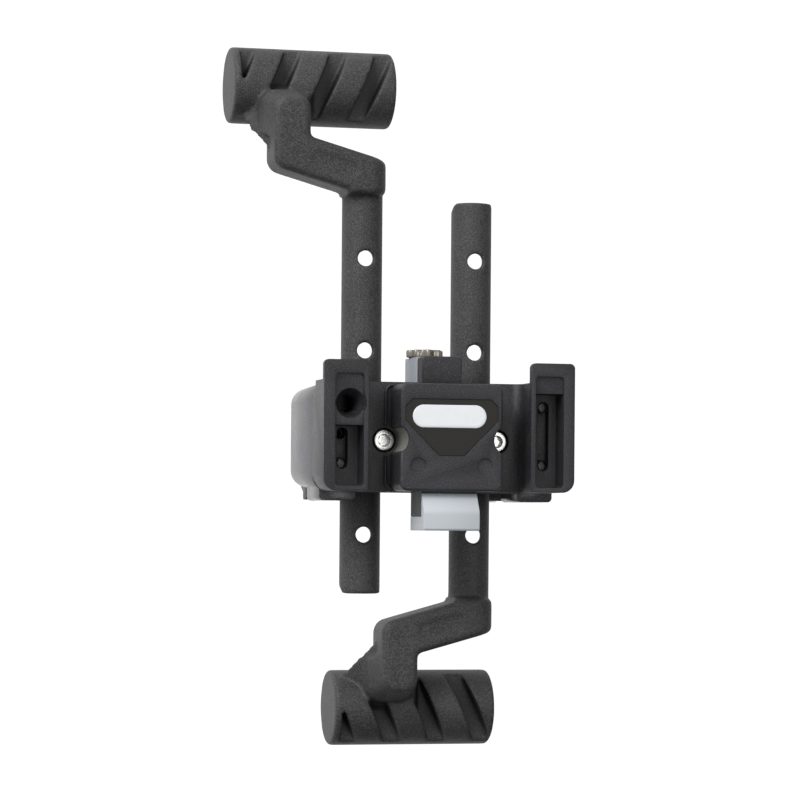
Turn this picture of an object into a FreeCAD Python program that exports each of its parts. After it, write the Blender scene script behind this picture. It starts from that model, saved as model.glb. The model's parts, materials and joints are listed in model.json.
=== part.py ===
import FreeCAD
import Part
import Sketcher
import math
import os

# Handlebar bag mount. X runs along the handlebar, -Y points ahead of the bike, +Z is up.
# The origin lies on the handlebar's axis, halfway between the two rear clamp caps.

doc = FreeCAD.newDocument("BagMount")
sheet = doc.addObject("Spreadsheet::Sheet", "Sizes")


# Driving sizes in millimetres: alias, value, meaning

SIZES = [
    ("bar_dia", 31.8, "handlebar that the mount is clamped on"),
    ("pad_thick", 1.4, "rubber liner between bar and clamp"),
    ("half_width", 52.0, "half the width of the housing"),
    ("body_top", 23.7, "top of the housing"),
    ("body_drop", 20.7, "bottom of the housing below the bar axis"),
    ("body_corner", 7.0, "corner radius of the housing outline"),
    ("seam_gap", 62.0, "joint of front moulding and rear block ahead of the bar axis"),
    ("plate_thick", 6.5, "front moulding's plate"),
    ("rear_gap", 17.5, "rear face of the block ahead of the bar axis"),
    ("block_taper_top", 1.2, "fall of the block's top towards its rear"),
    ("block_taper_low", 2.6, "rise of the block's underside towards its rear"),
    ("skirt_inset", 3.0, "skirts under the block from its sides"),
    ("skirt_width", 15.0, "width of the skirts under the block"),
    ("skirt_depth", 24.4, "skirts below the bar axis"),
    ("skirt_run", 24.0, "skirts from front to back"),
    ("wing_width", 18.3, "width of a hook wing"),
    ("wing_depth", 15.5, "hook wing ahead of the plate"),
    ("wing_top", 31.6, "top of a hook wing"),
    ("wing_tab", 3.0, "thickness of the wing's top tab"),
    ("wing_round", 5.0, "lower outer corner of a hook wing"),
    ("wing_fillet", 4.5, "hollow fillet between plate and wing"),
    ("pocket_inset", 4.6, "outer wall beside the hook pocket"),
    ("pocket_width", 11.8, "width of the hook pocket"),
    ("pocket_top", 26.2, "top of the hook pocket"),
    ("pocket_drop", 18.8, "bottom of the hook pocket below the bar axis"),
    ("pocket_shallow", 1.5, "depth of the hook pocket's upper step"),
    ("pocket_deep", 11.5, "depth of the hook pocket"),
    ("pocket_step_left", 5.5, "top of the deep pocket on the left"),
    ("pocket_step_right", 19.3, "top of the deep pocket on the right"),
    ("slot_inset", 10.0, "centre line of the wing's slot from its outer side"),
    ("slot_width", 4.6, "width of the wing's slot"),
    ("slot_depth", 4.3, "depth of the slot below the pocket floor"),
    ("cone_inset", 11.0, "centre of the conical hole from the left wing's outer side"),
    ("cone_height", 14.2, "height of the left wing's conical hole"),
    ("cone_wide", 13.2, "mouth of the conical hole"),
    ("cone_narrow", 7.0, "bore of the conical hole"),
    ("wing_screw_low", 9.5, "lower wing screws below the bar axis"),
    ("wing_screw_left", 2.5, "left wing's upper screw bore"),
    ("wing_screw_right", 14.2, "right wing's upper screw"),
    ("wing_screw_dia", 4.0, "wing screw"),
    ("wing_screw_run", 16.0, "wing screw's length"),
    ("cover_half", 21.2, "half width of the centre cover"),
    ("cover_top", 22.6, "top of the centre cover"),
    ("cover_drop", 20.6, "bottom of the centre cover below the bar axis"),
    ("cover_depth", 18.0, "centre cover ahead of the plate"),
    ("cover_front", 2.6, "front wall of the cover"),
    ("cover_wall", 2.2, "side wall of the cover"),
    ("cover_corner", 3.2, "corner radius of the cover"),
    ("cover_soft", 1.1, "front edge radius of the cover"),
    ("screw_reach", 23.6, "main screws and arm shanks from the centre plane"),
    ("notch_radius", 6.0, "access notch for the main screw"),
    ("notch_wall", 1.8, "wall round the access notch"),
    ("dimple_reach", 13.8, "round dimples from the centre plane"),
    ("dimple_drop", 10.5, "round dimples below the bar axis"),
    ("dimple_dia", 6.5, "round dimple"),
    ("dimple_depth", 0.5, "round dimple"),
    ("label_half", 19.1, "half width of the shield-shaped label"),
    ("label_top", 16.2, "top of the label"),
    ("label_side", 7.6, "where the label's sides turn inwards"),
    ("label_foot", 5.0, "half width of the label's foot"),
    ("label_drop", 6.3, "foot of the label below the bar axis"),
    ("label_chamfer", 3.0, "top corners of the label"),
    ("label_recess", 0.7, "recess of the label"),
    ("label_thick", 0.5, "label"),
    ("label_play", 0.15, "gap round the label"),
    ("turret_half", 8.4, "half width of the turret"),
    ("turret_height", 10.7, "turret above the housing"),
    ("turret_lead", 1.4, "turret ahead of the plate"),
    ("slide_half", 11.5, "half width of the latch slide"),
    ("slide_lead", 4.2, "front of the latch slide behind the cover's face"),
    ("slide_back", 22.0, "back of the latch slide behind the cover's face"),
    ("slide_foot", 30.8, "foot of the latch slide below the bar axis"),
    ("slide_head", 7.0, "head of the latch slide above the bar axis"),
    ("slide_play", 0.35, "running gap of the latch slide"),
    ("slide_travel", 3.0, "press of the release button"),
    ("lug_thick", 3.0, "lug that the lock's cam stops"),
    ("lug_half", 6.0, "half width of the lug"),
    ("button_proud", 1.0, "face of the release button ahead of the cover's face"),
    ("button_drop", 36.4, "foot of the release button below the bar axis"),
    ("button_slope", 7.3, "height of the release button's sloping top"),
    ("lip_thick", 1.6, "cover's front wall above the release button"),
    ("button_gap", 0.9, "gap between cover and release button"),
    ("spring_reach", 6.5, "return springs from the centre plane"),
    ("spring_width", 5.0, "return spring, a folded strip"),
    ("spring_strip", 0.6, "thickness of the spring's strip"),
    ("spring_depth", 4.0, "width of the spring's strip"),
    ("spring_seat", 3.0, "depth of the spring's seat in the slide"),
    ("lock_shift", 2.6, "lock axis left of the centre plane"),
    ("lock_gap", 50.5, "lock axis ahead of the bar axis"),
    ("lock_house_half", 8.7, "half width of the lock housing"),
    ("lock_house_deep", 20.0, "lock housing from front to back"),
    ("lock_house_rise", 10.8, "lock housing above the block"),
    ("lock_house_drop", 20.5, "lock housing sunk in the block"),
    ("lock_dia", 10.0, "lock barrel"),
    ("lock_cap_dia", 15.4, "scalloped lock cap"),
    ("lock_cap_thick", 3.1, "scalloped lock cap"),
    ("lock_play", 0.08, "running gap of the lock barrel"),
    ("cam_gap", 0.5, "lock cam below its housing"),
    ("cam_thick", 2.4, "lock cam"),
    ("cam_reach", 13.2, "tip of the lock cam from its axis"),
    ("cam_width", 5.0, "lock cam"),
    ("shank_radius", 8.5, "round front of an arm shank"),
    ("shank_wall", 2.9, "wall of the arm shank"),
    ("shank_gap", 25.5, "shank axis ahead of the bar axis"),
    ("shank_leg", 2.2, "shank legs behind the shank axis"),
    ("shank_play", 0.3, "gap round the shank in its bore"),
    ("sleeve_wall", 2.4, "wall round the shank bore"),
    ("hole_pitch", 38.3, "pitch of the height holes"),
    ("hole_dia", 6.6, "height holes"),
    ("shank_tail", 24.6, "last hole to the shank's free end"),
    ("neck_rise", 26.0, "first hole to the link"),
    ("stub_rise", 73.3, "first hole to the accessory stub's axis"),
    ("stub_gap", 6.5, "stub axis ahead of the bar axis"),
    ("stub_dia", 31.8, "accessory stub, as thick as a handlebar"),
    ("stub_run", 69.2, "length of the accessory stub"),
    ("stub_right_upper", 15.5, "upper stub's right end from the shank axis"),
    ("stub_right_lower", 13.0, "lower stub's right end from the shank axis"),
    ("stub_edge", 1.2, "rounded rim of the stub"),
    ("groove_width", 7.0, "slanted pockets of the stub"),
    ("groove_pitch", 19.5, "slanted pockets of the stub"),
    ("groove_first", 10.6, "first pocket from the stub's right end"),
    ("groove_lean", 24.0, "lean of the pockets in degrees"),
    ("groove_floor", 7.5, "floor of the pockets from the stub's axis"),
    ("link_front", 12.5, "front face of the arm ahead of the shank axis"),
    ("link_thick", 18.5, "arm thickness"),
    ("link_proud", 0.2, "link proud of the shank's sides"),
    ("link_height", 14.3, "right side of the link"),
    ("link_start", 1.8, "underside of the link above the neck"),
    ("link_lean", 15.6, "slope of the link in degrees"),
    ("link_plan", 8.0, "round of the link's right side, seen from above"),
    ("post_left", 39.9, "post's outer side from the shank axis"),
    ("post_right", 24.3, "post's inner side from the shank axis"),
    ("post_top", 66.0, "first hole to the post's top"),
    ("link_round", 6.0, "outer corners of the arm"),
    ("link_inner", 2.0, "inner corners of the arm"),
    ("link_soft", 2.8, "front edge radius of the arm"),
    ("neck_flare", 5.0, "spread of the neck where it meets the stub"),
    ("gusset_end", 2.6, "gusset's foot short of the stub's left end"),
    ("gusset_drop", 13.0, "gusset's foot beside the stub's axis"),
    ("neck_height", 22.0, "height of the neck on the back of the post"),
    ("oval_left", 21.0, "left centre of the link's oval from the shank axis"),
    ("oval_right", 8.0, "right centre of the link's oval from the shank axis"),
    ("oval_radius", 3.4, "link's oval"),
    ("oval_deep", 0.5, "depth of the link's oval"),
    ("main_screw_dia", 5.0, "main screw"),
    ("main_head_dia", 8.5, "main screw head"),
    ("main_nut", 8.0, "square nut"),
    ("main_nut_thick", 4.0, "square nut"),
    ("screw_play", 0.25, "gap round a screw in its bore"),
    ("cap_inset", 11.0, "clamp cap's outer side from the side of the housing"),
    ("cap_width", 9.5, "width of a clamp cap"),
    ("cap_wall", 4.2, "clamp cap's shell"),
    ("cap_gap", 2.0, "gap between block and clamp cap"),
    ("cap_ear", 6.5, "thickness of the clamp cap's ears"),
    ("cap_screw_dia", 4.0, "clamp screw"),
    ("cap_screw_out", 3.3, "clamp screws beyond the saddle"),
    ("cap_nut", 7.0, "square nut of the clamp screw"),
    ("cap_nut_thick", 3.2, "square nut of the clamp screw"),
    ("cap_nut_back", 5.0, "nut's rear face ahead of the boss's rear face"),
    ("boss_out", 6.3, "clamp bosses beyond the saddle"),
    ("stem_half", 21.0, "half width of the space for the stem"),
    ("web_half", 12.9, "half width of the hollow between the shank sleeves"),
]

for row, (alias, value, meaning) in enumerate(SIZES, start=1):
    sheet.set(f"A{row}", alias)
    sheet.set(f"B{row}", str(value))
    sheet.set(f"C{row}", meaning)
    sheet.setAlias(f"B{row}", alias)
doc.recompute()


class Size:
    """A number together with the spreadsheet expression that it comes from."""

    def __init__(self, value, text):
        self.value = float(value)
        self.text = text

    @staticmethod
    def of(number):
        return number if isinstance(number, Size) else Size(number, f"{float(number):.6f}")

    def __add__(self, other):
        other = Size.of(other)
        return Size(self.value + other.value, f"({self.text} + {other.text})")

    def __sub__(self, other):
        other = Size.of(other)
        return Size(self.value - other.value, f"({self.text} - {other.text})")

    def __mul__(self, other):
        other = Size.of(other)
        return Size(self.value * other.value, f"({self.text} * {other.text})")

    def __truediv__(self, other):
        other = Size.of(other)
        return Size(self.value / other.value, f"({self.text} / {other.text})")

    def __neg__(self):
        return Size(-self.value, f"(0 - {self.text})")

    def __radd__(self, other):
        return Size.of(other) + self

    def __rsub__(self, other):
        return Size.of(other) - self

    def __rmul__(self, other):
        return Size.of(other) * self


def tangent(angle):
    return Size(math.tan(math.radians(angle.value)), f"tan({angle.text})")


def root(square):
    return Size(math.sqrt(square.value), f"sqrt({square.text})")


S = {alias: Size(value, f"Sizes.{alias}") for alias, value, meaning in SIZES}


# Planes and levels that several pieces share

BAR_R = S["bar_dia"] / 2
SADDLE_R = BAR_R + S["pad_thick"]
BOSS_Z = SADDLE_R + S["boss_out"]
CAP_SCREW_Z = SADDLE_R + S["cap_screw_out"]
CAP_OUTER = S["half_width"] - S["cap_inset"]
CAP_INNER = CAP_OUTER - S["cap_width"]
CAP_X = (CAP_INNER + CAP_OUTER) / 2
SKIRT_OUTER = S["half_width"] - S["skirt_inset"]
SKIRT_INNER = SKIRT_OUTER - S["skirt_width"]
WING_INNER = S["half_width"] - S["wing_width"]
POCKET_OUTER = S["half_width"] - S["pocket_inset"]
POCKET_INNER = POCKET_OUTER - S["pocket_width"]
SLOT_X = S["half_width"] - S["slot_inset"]
CONE_X = S["half_width"] - S["cone_inset"]
SEAM_Y = -S["seam_gap"]
PLATE_Y = SEAM_Y - S["plate_thick"]
WING_Y = PLATE_Y - S["wing_depth"]
COVER_Y = PLATE_Y - S["cover_depth"]
COVER_BACK = COVER_Y + S["cover_front"]
REAR_Y = -S["rear_gap"]
SHANK_Y = -S["shank_gap"]
BORE_R = S["shank_radius"] + S["shank_play"]
BORE_BACK = SHANK_Y + S["shank_leg"] + S["shank_play"]
SLEEVE_BACK = BORE_BACK + S["sleeve_wall"]
BODY_LOW = -S["body_drop"]
COVER_LOW = -S["cover_drop"]
SLIDE_Y = COVER_Y + S["slide_lead"]
SLIDE_BACK = COVER_Y + S["slide_back"]
SLIDE_FOOT = -S["slide_foot"]
BUTTON_Y = COVER_Y - S["button_proud"]
BUTTON_LOW = -S["button_drop"]
BUTTON_TOP = COVER_LOW - S["button_gap"]
LOCK_X = -S["lock_shift"]
LOCK_Y = -S["lock_gap"]
LOCK_TOP = S["body_top"] + S["lock_house_rise"]
CAP_LOW = LOCK_TOP + S["lock_play"] * 2
LOCK_FLOOR = S["body_top"] - S["lock_house_drop"]
LOCK_FRONT = SEAM_Y
LOCK_BACK = SEAM_Y + S["lock_house_deep"]
CAM_TOP = LOCK_FLOOR - S["cam_gap"]
CAM_LOW = CAM_TOP - S["cam_thick"]
MAIN_SEAT = PLATE_Y + S["main_screw_dia"] + 0.3
HOLLOW_R = S["shank_radius"] - S["shank_wall"]
HALF_NUT = S["main_nut"] / 2
NUT_Y = SHANK_Y - root(HOLLOW_R * HOLLOW_R - HALF_NUT * HALF_NUT) + 0.02
CAP_FRONT = S["cap_gap"] / 2
BOSS_BACK = -CAP_FRONT
CAP_SEAT = CAP_FRONT + S["cap_ear"]
CAP_NUT_Y = BOSS_BACK - S["cap_nut_back"]
STUB_Y = -S["stub_gap"]
LUG_TOP = CAM_LOW - S["slide_travel"] - S["slide_play"]
POCKET_FLOOR = WING_Y + S["pocket_deep"]
SLOT_FLOOR = POCKET_FLOOR + S["slot_depth"]


# Sketch and feature helpers

def piece(name):
    """A body whose label names the sub-part."""
    body = doc.addObject("PartDesign::Body", name)
    body.Label = name
    return body


def sketch_on(body, plane, level):
    """An empty sketch parallel to one of the body's own origin planes, at a level along its axis."""
    sketch = body.newObject("Sketcher::SketchObject", f"{body.Name}_sketch")
    support = [item for item in body.Origin.OriginFeatures if item.Role == plane][0]
    sketch.AttachmentSupport = [(support, "")]
    sketch.MapMode = "FlatFace"
    offset = -level if plane == "XZ_Plane" else level
    sketch.AttachmentOffset = FreeCAD.Placement(FreeCAD.Vector(0, 0, offset.value), FreeCAD.Rotation())
    sketch.setExpression("AttachmentOffset.Base.z", offset.text)
    return sketch


def vector(across, up):
    return FreeCAD.Vector(across.value, up.value, 0)


def dimension(sketch, kind, *args):
    """A sketch dimension bound to the sheet: the last argument is its size."""
    size = args[-1]
    index = sketch.addConstraint(Sketcher.Constraint(kind, *args[:-1], size.value))
    sketch.setExpression(f"Constraints[{index}]", size.text)


def join(sketch, first, second):
    sketch.addConstraint(Sketcher.Constraint("Coincident", first, 2, second, 1))


def place_point(sketch, geometry, point, across, up):
    dimension(sketch, "DistanceX", -1, 1, geometry, point, across)
    dimension(sketch, "DistanceY", -1, 1, geometry, point, up)


def polygon(sketch, points):
    """A closed outline of straight edges, each corner dimensioned from the origin."""
    points = [(Size.of(across), Size.of(up)) for across, up in points]
    first = sketch.GeometryCount
    for start, end in zip(points, points[1:] + points[:1]):
        sketch.addGeometry(Part.LineSegment(vector(*start), vector(*end)), False)
    for index, point in enumerate(points):
        join(sketch, first + index, first + (index + 1) % len(points))
    for index, point in enumerate(points):
        place_point(sketch, first + index, 1, *point)


def rectangle(sketch, left, right, low, high):
    polygon(sketch, [(left, low), (right, low), (right, high), (left, high)])


def circle(sketch, across, up, radius):
    across, up, radius = Size.of(across), Size.of(up), Size.of(radius)
    normal = FreeCAD.Vector(0, 0, 1)
    index = sketch.addGeometry(Part.Circle(vector(across, up), normal, radius.value), False)
    place_point(sketch, index, 3, across, up)
    dimension(sketch, "Radius", index, radius)


def obround(sketch, start, end, radius):
    """A slot with round ends about two centres."""
    start = tuple(Size.of(value) for value in start)
    end = tuple(Size.of(value) for value in end)
    radius = Size.of(radius)
    normal = FreeCAD.Vector(0, 0, 1)
    a, b = vector(*start), vector(*end)
    along = (b - a).normalize()
    angle = math.atan2(along.y, along.x)
    side = FreeCAD.Vector(-along.y, along.x, 0) * radius.value
    ring = Part.Circle(a, normal, radius.value)
    tip = Part.Circle(b, normal, radius.value)
    first = sketch.GeometryCount
    sketch.addGeometry(Part.ArcOfCircle(ring, angle + math.pi / 2, angle + math.pi * 1.5), False)
    sketch.addGeometry(Part.LineSegment(a - side, b - side), False)
    sketch.addGeometry(Part.ArcOfCircle(tip, angle - math.pi / 2, angle + math.pi / 2), False)
    sketch.addGeometry(Part.LineSegment(b + side, a + side), False)
    sketch.addConstraint(Sketcher.Constraint("Tangent", first, 2, first + 1, 1))
    sketch.addConstraint(Sketcher.Constraint("Tangent", first + 1, 2, first + 2, 1))
    sketch.addConstraint(Sketcher.Constraint("Tangent", first + 2, 2, first + 3, 1))
    sketch.addConstraint(Sketcher.Constraint("Tangent", first + 3, 2, first, 1))
    place_point(sketch, first, 3, *start)
    place_point(sketch, first + 2, 3, *end)
    dimension(sketch, "Radius", first, radius)


def channel(sketch, across, middle, radius, back):
    """A half round with straight legs, drawn in plan: round towards -Y, flat at the level back."""
    centre = vector(across, middle)
    normal = FreeCAD.Vector(0, 0, 1)
    right = FreeCAD.Vector(across.value + radius.value, middle.value, 0)
    left = FreeCAD.Vector(across.value - radius.value, middle.value, 0)
    back_right = FreeCAD.Vector(right.x, back.value, 0)
    back_left = FreeCAD.Vector(left.x, back.value, 0)
    first = sketch.GeometryCount
    round_part = Part.Circle(centre, normal, radius.value)
    sketch.addGeometry(Part.ArcOfCircle(round_part, math.pi, 2 * math.pi), False)
    sketch.addGeometry(Part.LineSegment(right, back_right), False)
    sketch.addGeometry(Part.LineSegment(back_right, back_left), False)
    sketch.addGeometry(Part.LineSegment(back_left, left), False)
    sketch.addConstraint(Sketcher.Constraint("Tangent", first, 2, first + 1, 1))
    join(sketch, first + 1, first + 2)
    join(sketch, first + 2, first + 3)
    sketch.addConstraint(Sketcher.Constraint("Coincident", first + 3, 2, first, 1))
    sketch.addConstraint(Sketcher.Constraint("Vertical", first + 1))
    sketch.addConstraint(Sketcher.Constraint("Horizontal", first + 2))
    sketch.addConstraint(Sketcher.Constraint("Vertical", first + 3))
    place_point(sketch, first, 3, across, middle)
    dimension(sketch, "Radius", first, radius)
    dimension(sketch, "DistanceY", -1, 1, first + 1, 2, back)


def finish(body, feature):
    body.Tip = feature
    doc.recompute()
    return feature


def grow(body, plane, low, high, draw):
    """Adds the drawn profile to the body between two levels of the plane's axis."""
    low, high = Size.of(low), Size.of(high)
    sketch = sketch_on(body, plane, high if plane == "XZ_Plane" else low)
    draw(sketch)
    pad = body.newObject("PartDesign::Pad", f"{body.Name}_pad")
    pad.Profile = sketch
    pad.setExpression("Length", (high - low).text)
    return finish(body, pad)


def carve(body, plane, low, high, draw):
    """Takes the drawn profile out of the body between two levels of the plane's axis."""
    low, high = Size.of(low), Size.of(high)
    sketch = sketch_on(body, plane, low if plane == "XZ_Plane" else high)
    draw(sketch)
    before = body.Tip.Shape.Volume
    pocket = body.newObject("PartDesign::Pocket", f"{body.Name}_pocket")
    pocket.Profile = sketch
    pocket.setExpression("Length", (high - low).text)
    finish(body, pocket)
    if not pocket.Shape.Volume < before - 1e-6:
        raise ValueError(f"{body.Label}: {pocket.Label} cuts nothing")
    return pocket


def edges_at(body, x=None, y=None, z=None, kind=None):
    """Names of the edges whose two ends lie at the given coordinates."""
    names = []
    for index, edge in enumerate(body.Tip.Shape.Edges, start=1):
        ends = [edge.Vertexes[0].Point, edge.Vertexes[-1].Point]
        middle = edge.valueAt((edge.FirstParameter + edge.LastParameter) / 2)
        spots = ends + [middle]
        wanted = [(level, axis) for level, axis in ((x, 0), (y, 1), (z, 2)) if level is not None]
        if not all(abs(spot[axis] - Size.of(level).value) < 0.01 for spot in spots for level, axis in wanted):
            continue
        if kind is None or isinstance(edge.Curve, kind):
            names.append(f"Edge{index}")
    return names


def soften(body, names, radius):
    """Rounds the named edges."""
    if not names:
        raise ValueError(f"{body.Label}: no edges to round")
    radius = Size.of(radius)
    base = body.Tip
    fillet = body.newObject("PartDesign::Fillet", f"{body.Name}_round")
    fillet.Base = (base, sorted(set(names)))
    fillet.setExpression("Radius", radius.text)
    return finish(body, fillet)


# Front moulding: plate, two hook wings, turret

def make_holder_body():
    body = piece("holder_body")
    half, top = S["half_width"], S["body_top"]
    grow(body, "XZ_Plane", PLATE_Y, SEAM_Y, lambda k: rectangle(k, -half, half, BODY_LOW, top))
    for side in (-1, 1):
        for level in (BODY_LOW, top):
            soften(body, edges_at(body, x=side * half, z=level), S["body_corner"])
    for side in (-1, 1):
        add_wing(body, side)
    turret, rise = S["turret_half"], top + S["turret_height"]
    lead = PLATE_Y - S["turret_lead"]
    foot = S["cover_top"] + S["slide_play"]
    grow(body, "XZ_Plane", lead, SEAM_Y, lambda k: rectangle(k, -turret, turret, foot, rise))
    soften(body, edges_at(body, x=turret, z=rise) + edges_at(body, x=-turret, z=rise), 1.6)
    soften(body, edges_at(body, x=turret, y=lead) + edges_at(body, x=-turret, y=lead), 0.8)
    carve_slide_way(body)
    for side in (-1, 1):
        bore_main_screw(body, side)
    return body


def add_wing(body, side):
    """A hook wing: a block with a hooked pocket in its face, a tab above and a slot with screw bores."""
    inner, outer = side * WING_INNER, side * S["half_width"]
    left, right = (outer, inner) if side < 0 else (inner, outer)
    back = WING_Y + S["wing_tab"]
    grow(body, "XZ_Plane", WING_Y, PLATE_Y + 1, lambda k: rectangle(k, left, right, BODY_LOW, S["body_top"]))
    low_corner = edges_at(body, x=outer, z=BODY_LOW, kind=Part.Line)
    soften(body, low_corner, S["wing_round"])
    foot = edges_at(body, x=inner, y=PLATE_Y, kind=Part.Line)
    soften(body, foot, S["wing_fillet"])
    grow(body, "XZ_Plane", WING_Y, back, lambda k: rectangle(k, left, right, S["body_top"] - 4, S["wing_top"]))
    top_corners = edges_at(body, x=outer, z=S["wing_top"]) + edges_at(body, x=inner, z=S["wing_top"])
    soften(body, top_corners, 2.0)
    carve_hook_pocket(body, side)


def carve_hook_pocket(body, side):
    ends = (side * POCKET_INNER, side * POCKET_OUTER)
    left, right = (ends[1], ends[0]) if side < 0 else ends
    step = S["pocket_step_left"] if side < 0 else S["pocket_step_right"]
    low, high = -S["pocket_drop"], S["pocket_top"]
    shelf = WING_Y + S["pocket_shallow"]
    carve(body, "XZ_Plane", WING_Y, shelf, lambda k: rectangle(k, left, right, low, high))
    for edge_x in (left, right):
        soften(body, edges_at(body, x=edge_x, z=high), 1.6)
    carve(body, "XZ_Plane", WING_Y, POCKET_FLOOR, lambda k: rectangle(k, left, right, low, step))
    for edge_x in (left, right):
        soften(body, edges_at(body, x=edge_x, z=low), 1.6)
    centre = side * SLOT_X
    radius = S["slot_width"] / 2
    upper = S["wing_screw_left"] if side < 0 else S["wing_screw_right"]
    lower = -S["wing_screw_low"]
    carve(body, "XZ_Plane", POCKET_FLOOR, SLOT_FLOOR,
          lambda k: obround(k, (centre, lower), (centre, upper), radius))
    bore = S["wing_screw_dia"] / 2 + S["screw_play"]
    for height in (lower, upper):
        carve(body, "XZ_Plane", SLOT_FLOOR, SEAM_Y, lambda k: circle(k, centre, height, bore))
    if side < 0:
        carve_cone(body)


def carve_cone(body):
    """The conical hole above the left wing's deep pocket."""
    x, z = -CONE_X, S["cone_height"]
    shelf = WING_Y + S["pocket_shallow"]
    carve(body, "XZ_Plane", shelf, SEAM_Y, lambda k: circle(k, x, z, S["cone_narrow"] / 2))
    mouth = sketch_on(body, "XZ_Plane", WING_Y)
    circle(mouth, x, z, S["cone_wide"] / 2)
    throat = sketch_on(body, "XZ_Plane", WING_Y + 8)
    circle(throat, x, z, S["cone_narrow"] / 2)
    loft = body.newObject("PartDesign::SubtractiveLoft", "cone")
    loft.Profile = mouth
    loft.Sections = [throat]
    finish(body, loft)


def carve_slide_way(body):
    """The opening behind the cover in which the latch slide runs, and the way out of its foot."""
    half = S["slide_half"] + S["slide_play"]
    top = S["slide_head"] + S["slide_travel"] + 9
    carve(body, "XZ_Plane", PLATE_Y, SEAM_Y - 1.5, lambda k: rectangle(k, -half, half, BODY_LOW, top))
    lug = S["lug_half"] + S["slide_play"] + 4
    carve(body, "XZ_Plane", SEAM_Y - 1.5, SEAM_Y,
          lambda k: rectangle(k, -lug, lug, LUG_TOP - S["lug_thick"] - 1, CAM_TOP + 1))


def bore_main_screw(body, side):
    x = side * S["screw_reach"]
    head = S["main_head_dia"] / 2 + 0.75
    bore = S["main_screw_dia"] / 2 + S["screw_play"]
    carve(body, "XZ_Plane", PLATE_Y, MAIN_SEAT, lambda k: circle(k, x, Size.of(0), head))
    carve(body, "XZ_Plane", MAIN_SEAT, SEAM_Y, lambda k: circle(k, x, Size.of(0), bore))


# Centre cover with its shield-shaped label

def label_outline(grown):
    """The shield's corners, made larger or smaller all round."""
    half, top = S["label_half"] + grown, S["label_top"] + grown
    side, foot, low = S["label_side"], S["label_foot"] + grown, -S["label_drop"] - grown
    cut = S["label_chamfer"]
    return [(-foot, low), (foot, low), (half, side), (half, top - cut), (half - cut, top),
            (cut - half, top), (-half, top - cut), (-half, side)]


def make_centre_cover():
    body = piece("centre_cover")
    half, top = S["cover_half"], S["cover_top"]
    wall = S["cover_wall"]
    grow(body, "XZ_Plane", COVER_Y, PLATE_Y, lambda k: rectangle(k, -half, half, COVER_LOW, top))
    corners = [name for x in (-half, half) for z in (COVER_LOW, top) for name in edges_at(body, x=x, z=z)]
    soften(body, corners, S["cover_corner"])
    soften(body, edges_at(body, y=COVER_Y), S["cover_soft"])
    carve(body, "XZ_Plane", COVER_BACK, PLATE_Y,
          lambda k: rectangle(k, wall - half, half - wall, COVER_LOW + wall, top - wall))
    ring = S["notch_radius"] + S["notch_wall"]
    for side in (-1, 1):
        x = side * S["screw_reach"]
        inside = side * (half - wall)
        near = side * (half - wall - 0.4)
        tip = side * (S["screw_reach"] - ring)
        left, right = (near, tip) if side < 0 else (tip, near)
        grow(body, "XZ_Plane", COVER_BACK - 0.5, PLATE_Y,
             lambda k: rectangle(k, left, right, -ring * 0.72, ring * 0.72))
        carve(body, "XZ_Plane", COVER_Y, PLATE_Y, lambda k: circle(k, x, Size.of(0), S["notch_radius"]))
    opening = S["slide_half"] + S["slide_play"]
    lip = COVER_Y + S["lip_thick"]
    carve(body, "XZ_Plane", lip, PLATE_Y,
          lambda k: rectangle(k, -opening, opening, COVER_LOW, COVER_LOW + S["slide_travel"] + 1))
    deep = COVER_Y + S["label_recess"]
    carve(body, "XZ_Plane", COVER_Y, deep, lambda k: polygon(k, label_outline(S["label_play"])))
    for side in (-1, 1):
        x = side * S["dimple_reach"]
        carve(body, "XZ_Plane", COVER_Y, COVER_Y + S["dimple_depth"],
              lambda k: circle(k, x, -S["dimple_drop"], S["dimple_dia"] / 2))
    return body


def make_label_plate():
    body = piece("label_plate")
    back = COVER_Y + S["label_recess"]
    grow(body, "XZ_Plane", back - S["label_thick"], back, lambda k: polygon(k, label_outline(Size.of(0))))
    return body


# Latch slide, release button and return springs

def make_latch_slide():
    """The black slide behind the cover: two spring seats on top, a lug behind for the lock's cam."""
    body = piece("latch_slide")
    half, head = S["slide_half"], S["slide_head"]
    grow(body, "XZ_Plane", SLIDE_Y, SLIDE_BACK, lambda k: rectangle(k, -half, half, SLIDE_FOOT, head))
    for side in (-1, 1):
        x = side * S["spring_reach"]
        middle = (SLIDE_Y + SLIDE_BACK) / 2
        wide, deep = S["spring_width"] / 2 + 0.4, S["spring_depth"] / 2 + 0.4
        carve(body, "XY_Plane", head - S["spring_seat"], head,
              lambda k: rectangle(k, x - wide, x + wide, middle - deep, middle + deep))
    lug_back = LOCK_Y - S["cam_reach"] + 4
    lug = S["lug_half"]
    grow(body, "XZ_Plane", SLIDE_BACK - 0.5, lug_back,
         lambda k: rectangle(k, -lug, lug, LUG_TOP - S["lug_thick"], LUG_TOP))
    return body


def make_release_button():
    """The grey button: a face that slopes in at its top, in front of the slide, and a foot under it."""
    body = piece("release_button")
    half = S["slide_half"]
    slope = BUTTON_TOP - S["button_slope"]
    face = [(BUTTON_Y, BUTTON_LOW), (SLIDE_Y, BUTTON_LOW), (SLIDE_Y, BUTTON_TOP),
            (SLIDE_Y - 0.4, BUTTON_TOP), (BUTTON_Y, slope)]
    grow(body, "YZ_Plane", -half, half, lambda k: polygon(k, face))
    soften(body, edges_at(body, y=BUTTON_Y, z=slope), 4.0)
    grow(body, "YZ_Plane", -half, half, lambda k: rectangle(k, SLIDE_Y - 0.5, SLIDE_BACK, BUTTON_LOW, SLIDE_FOOT))
    soften(body, edges_at(body, y=BUTTON_Y, z=BUTTON_LOW), 1.0)
    return body


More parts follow.
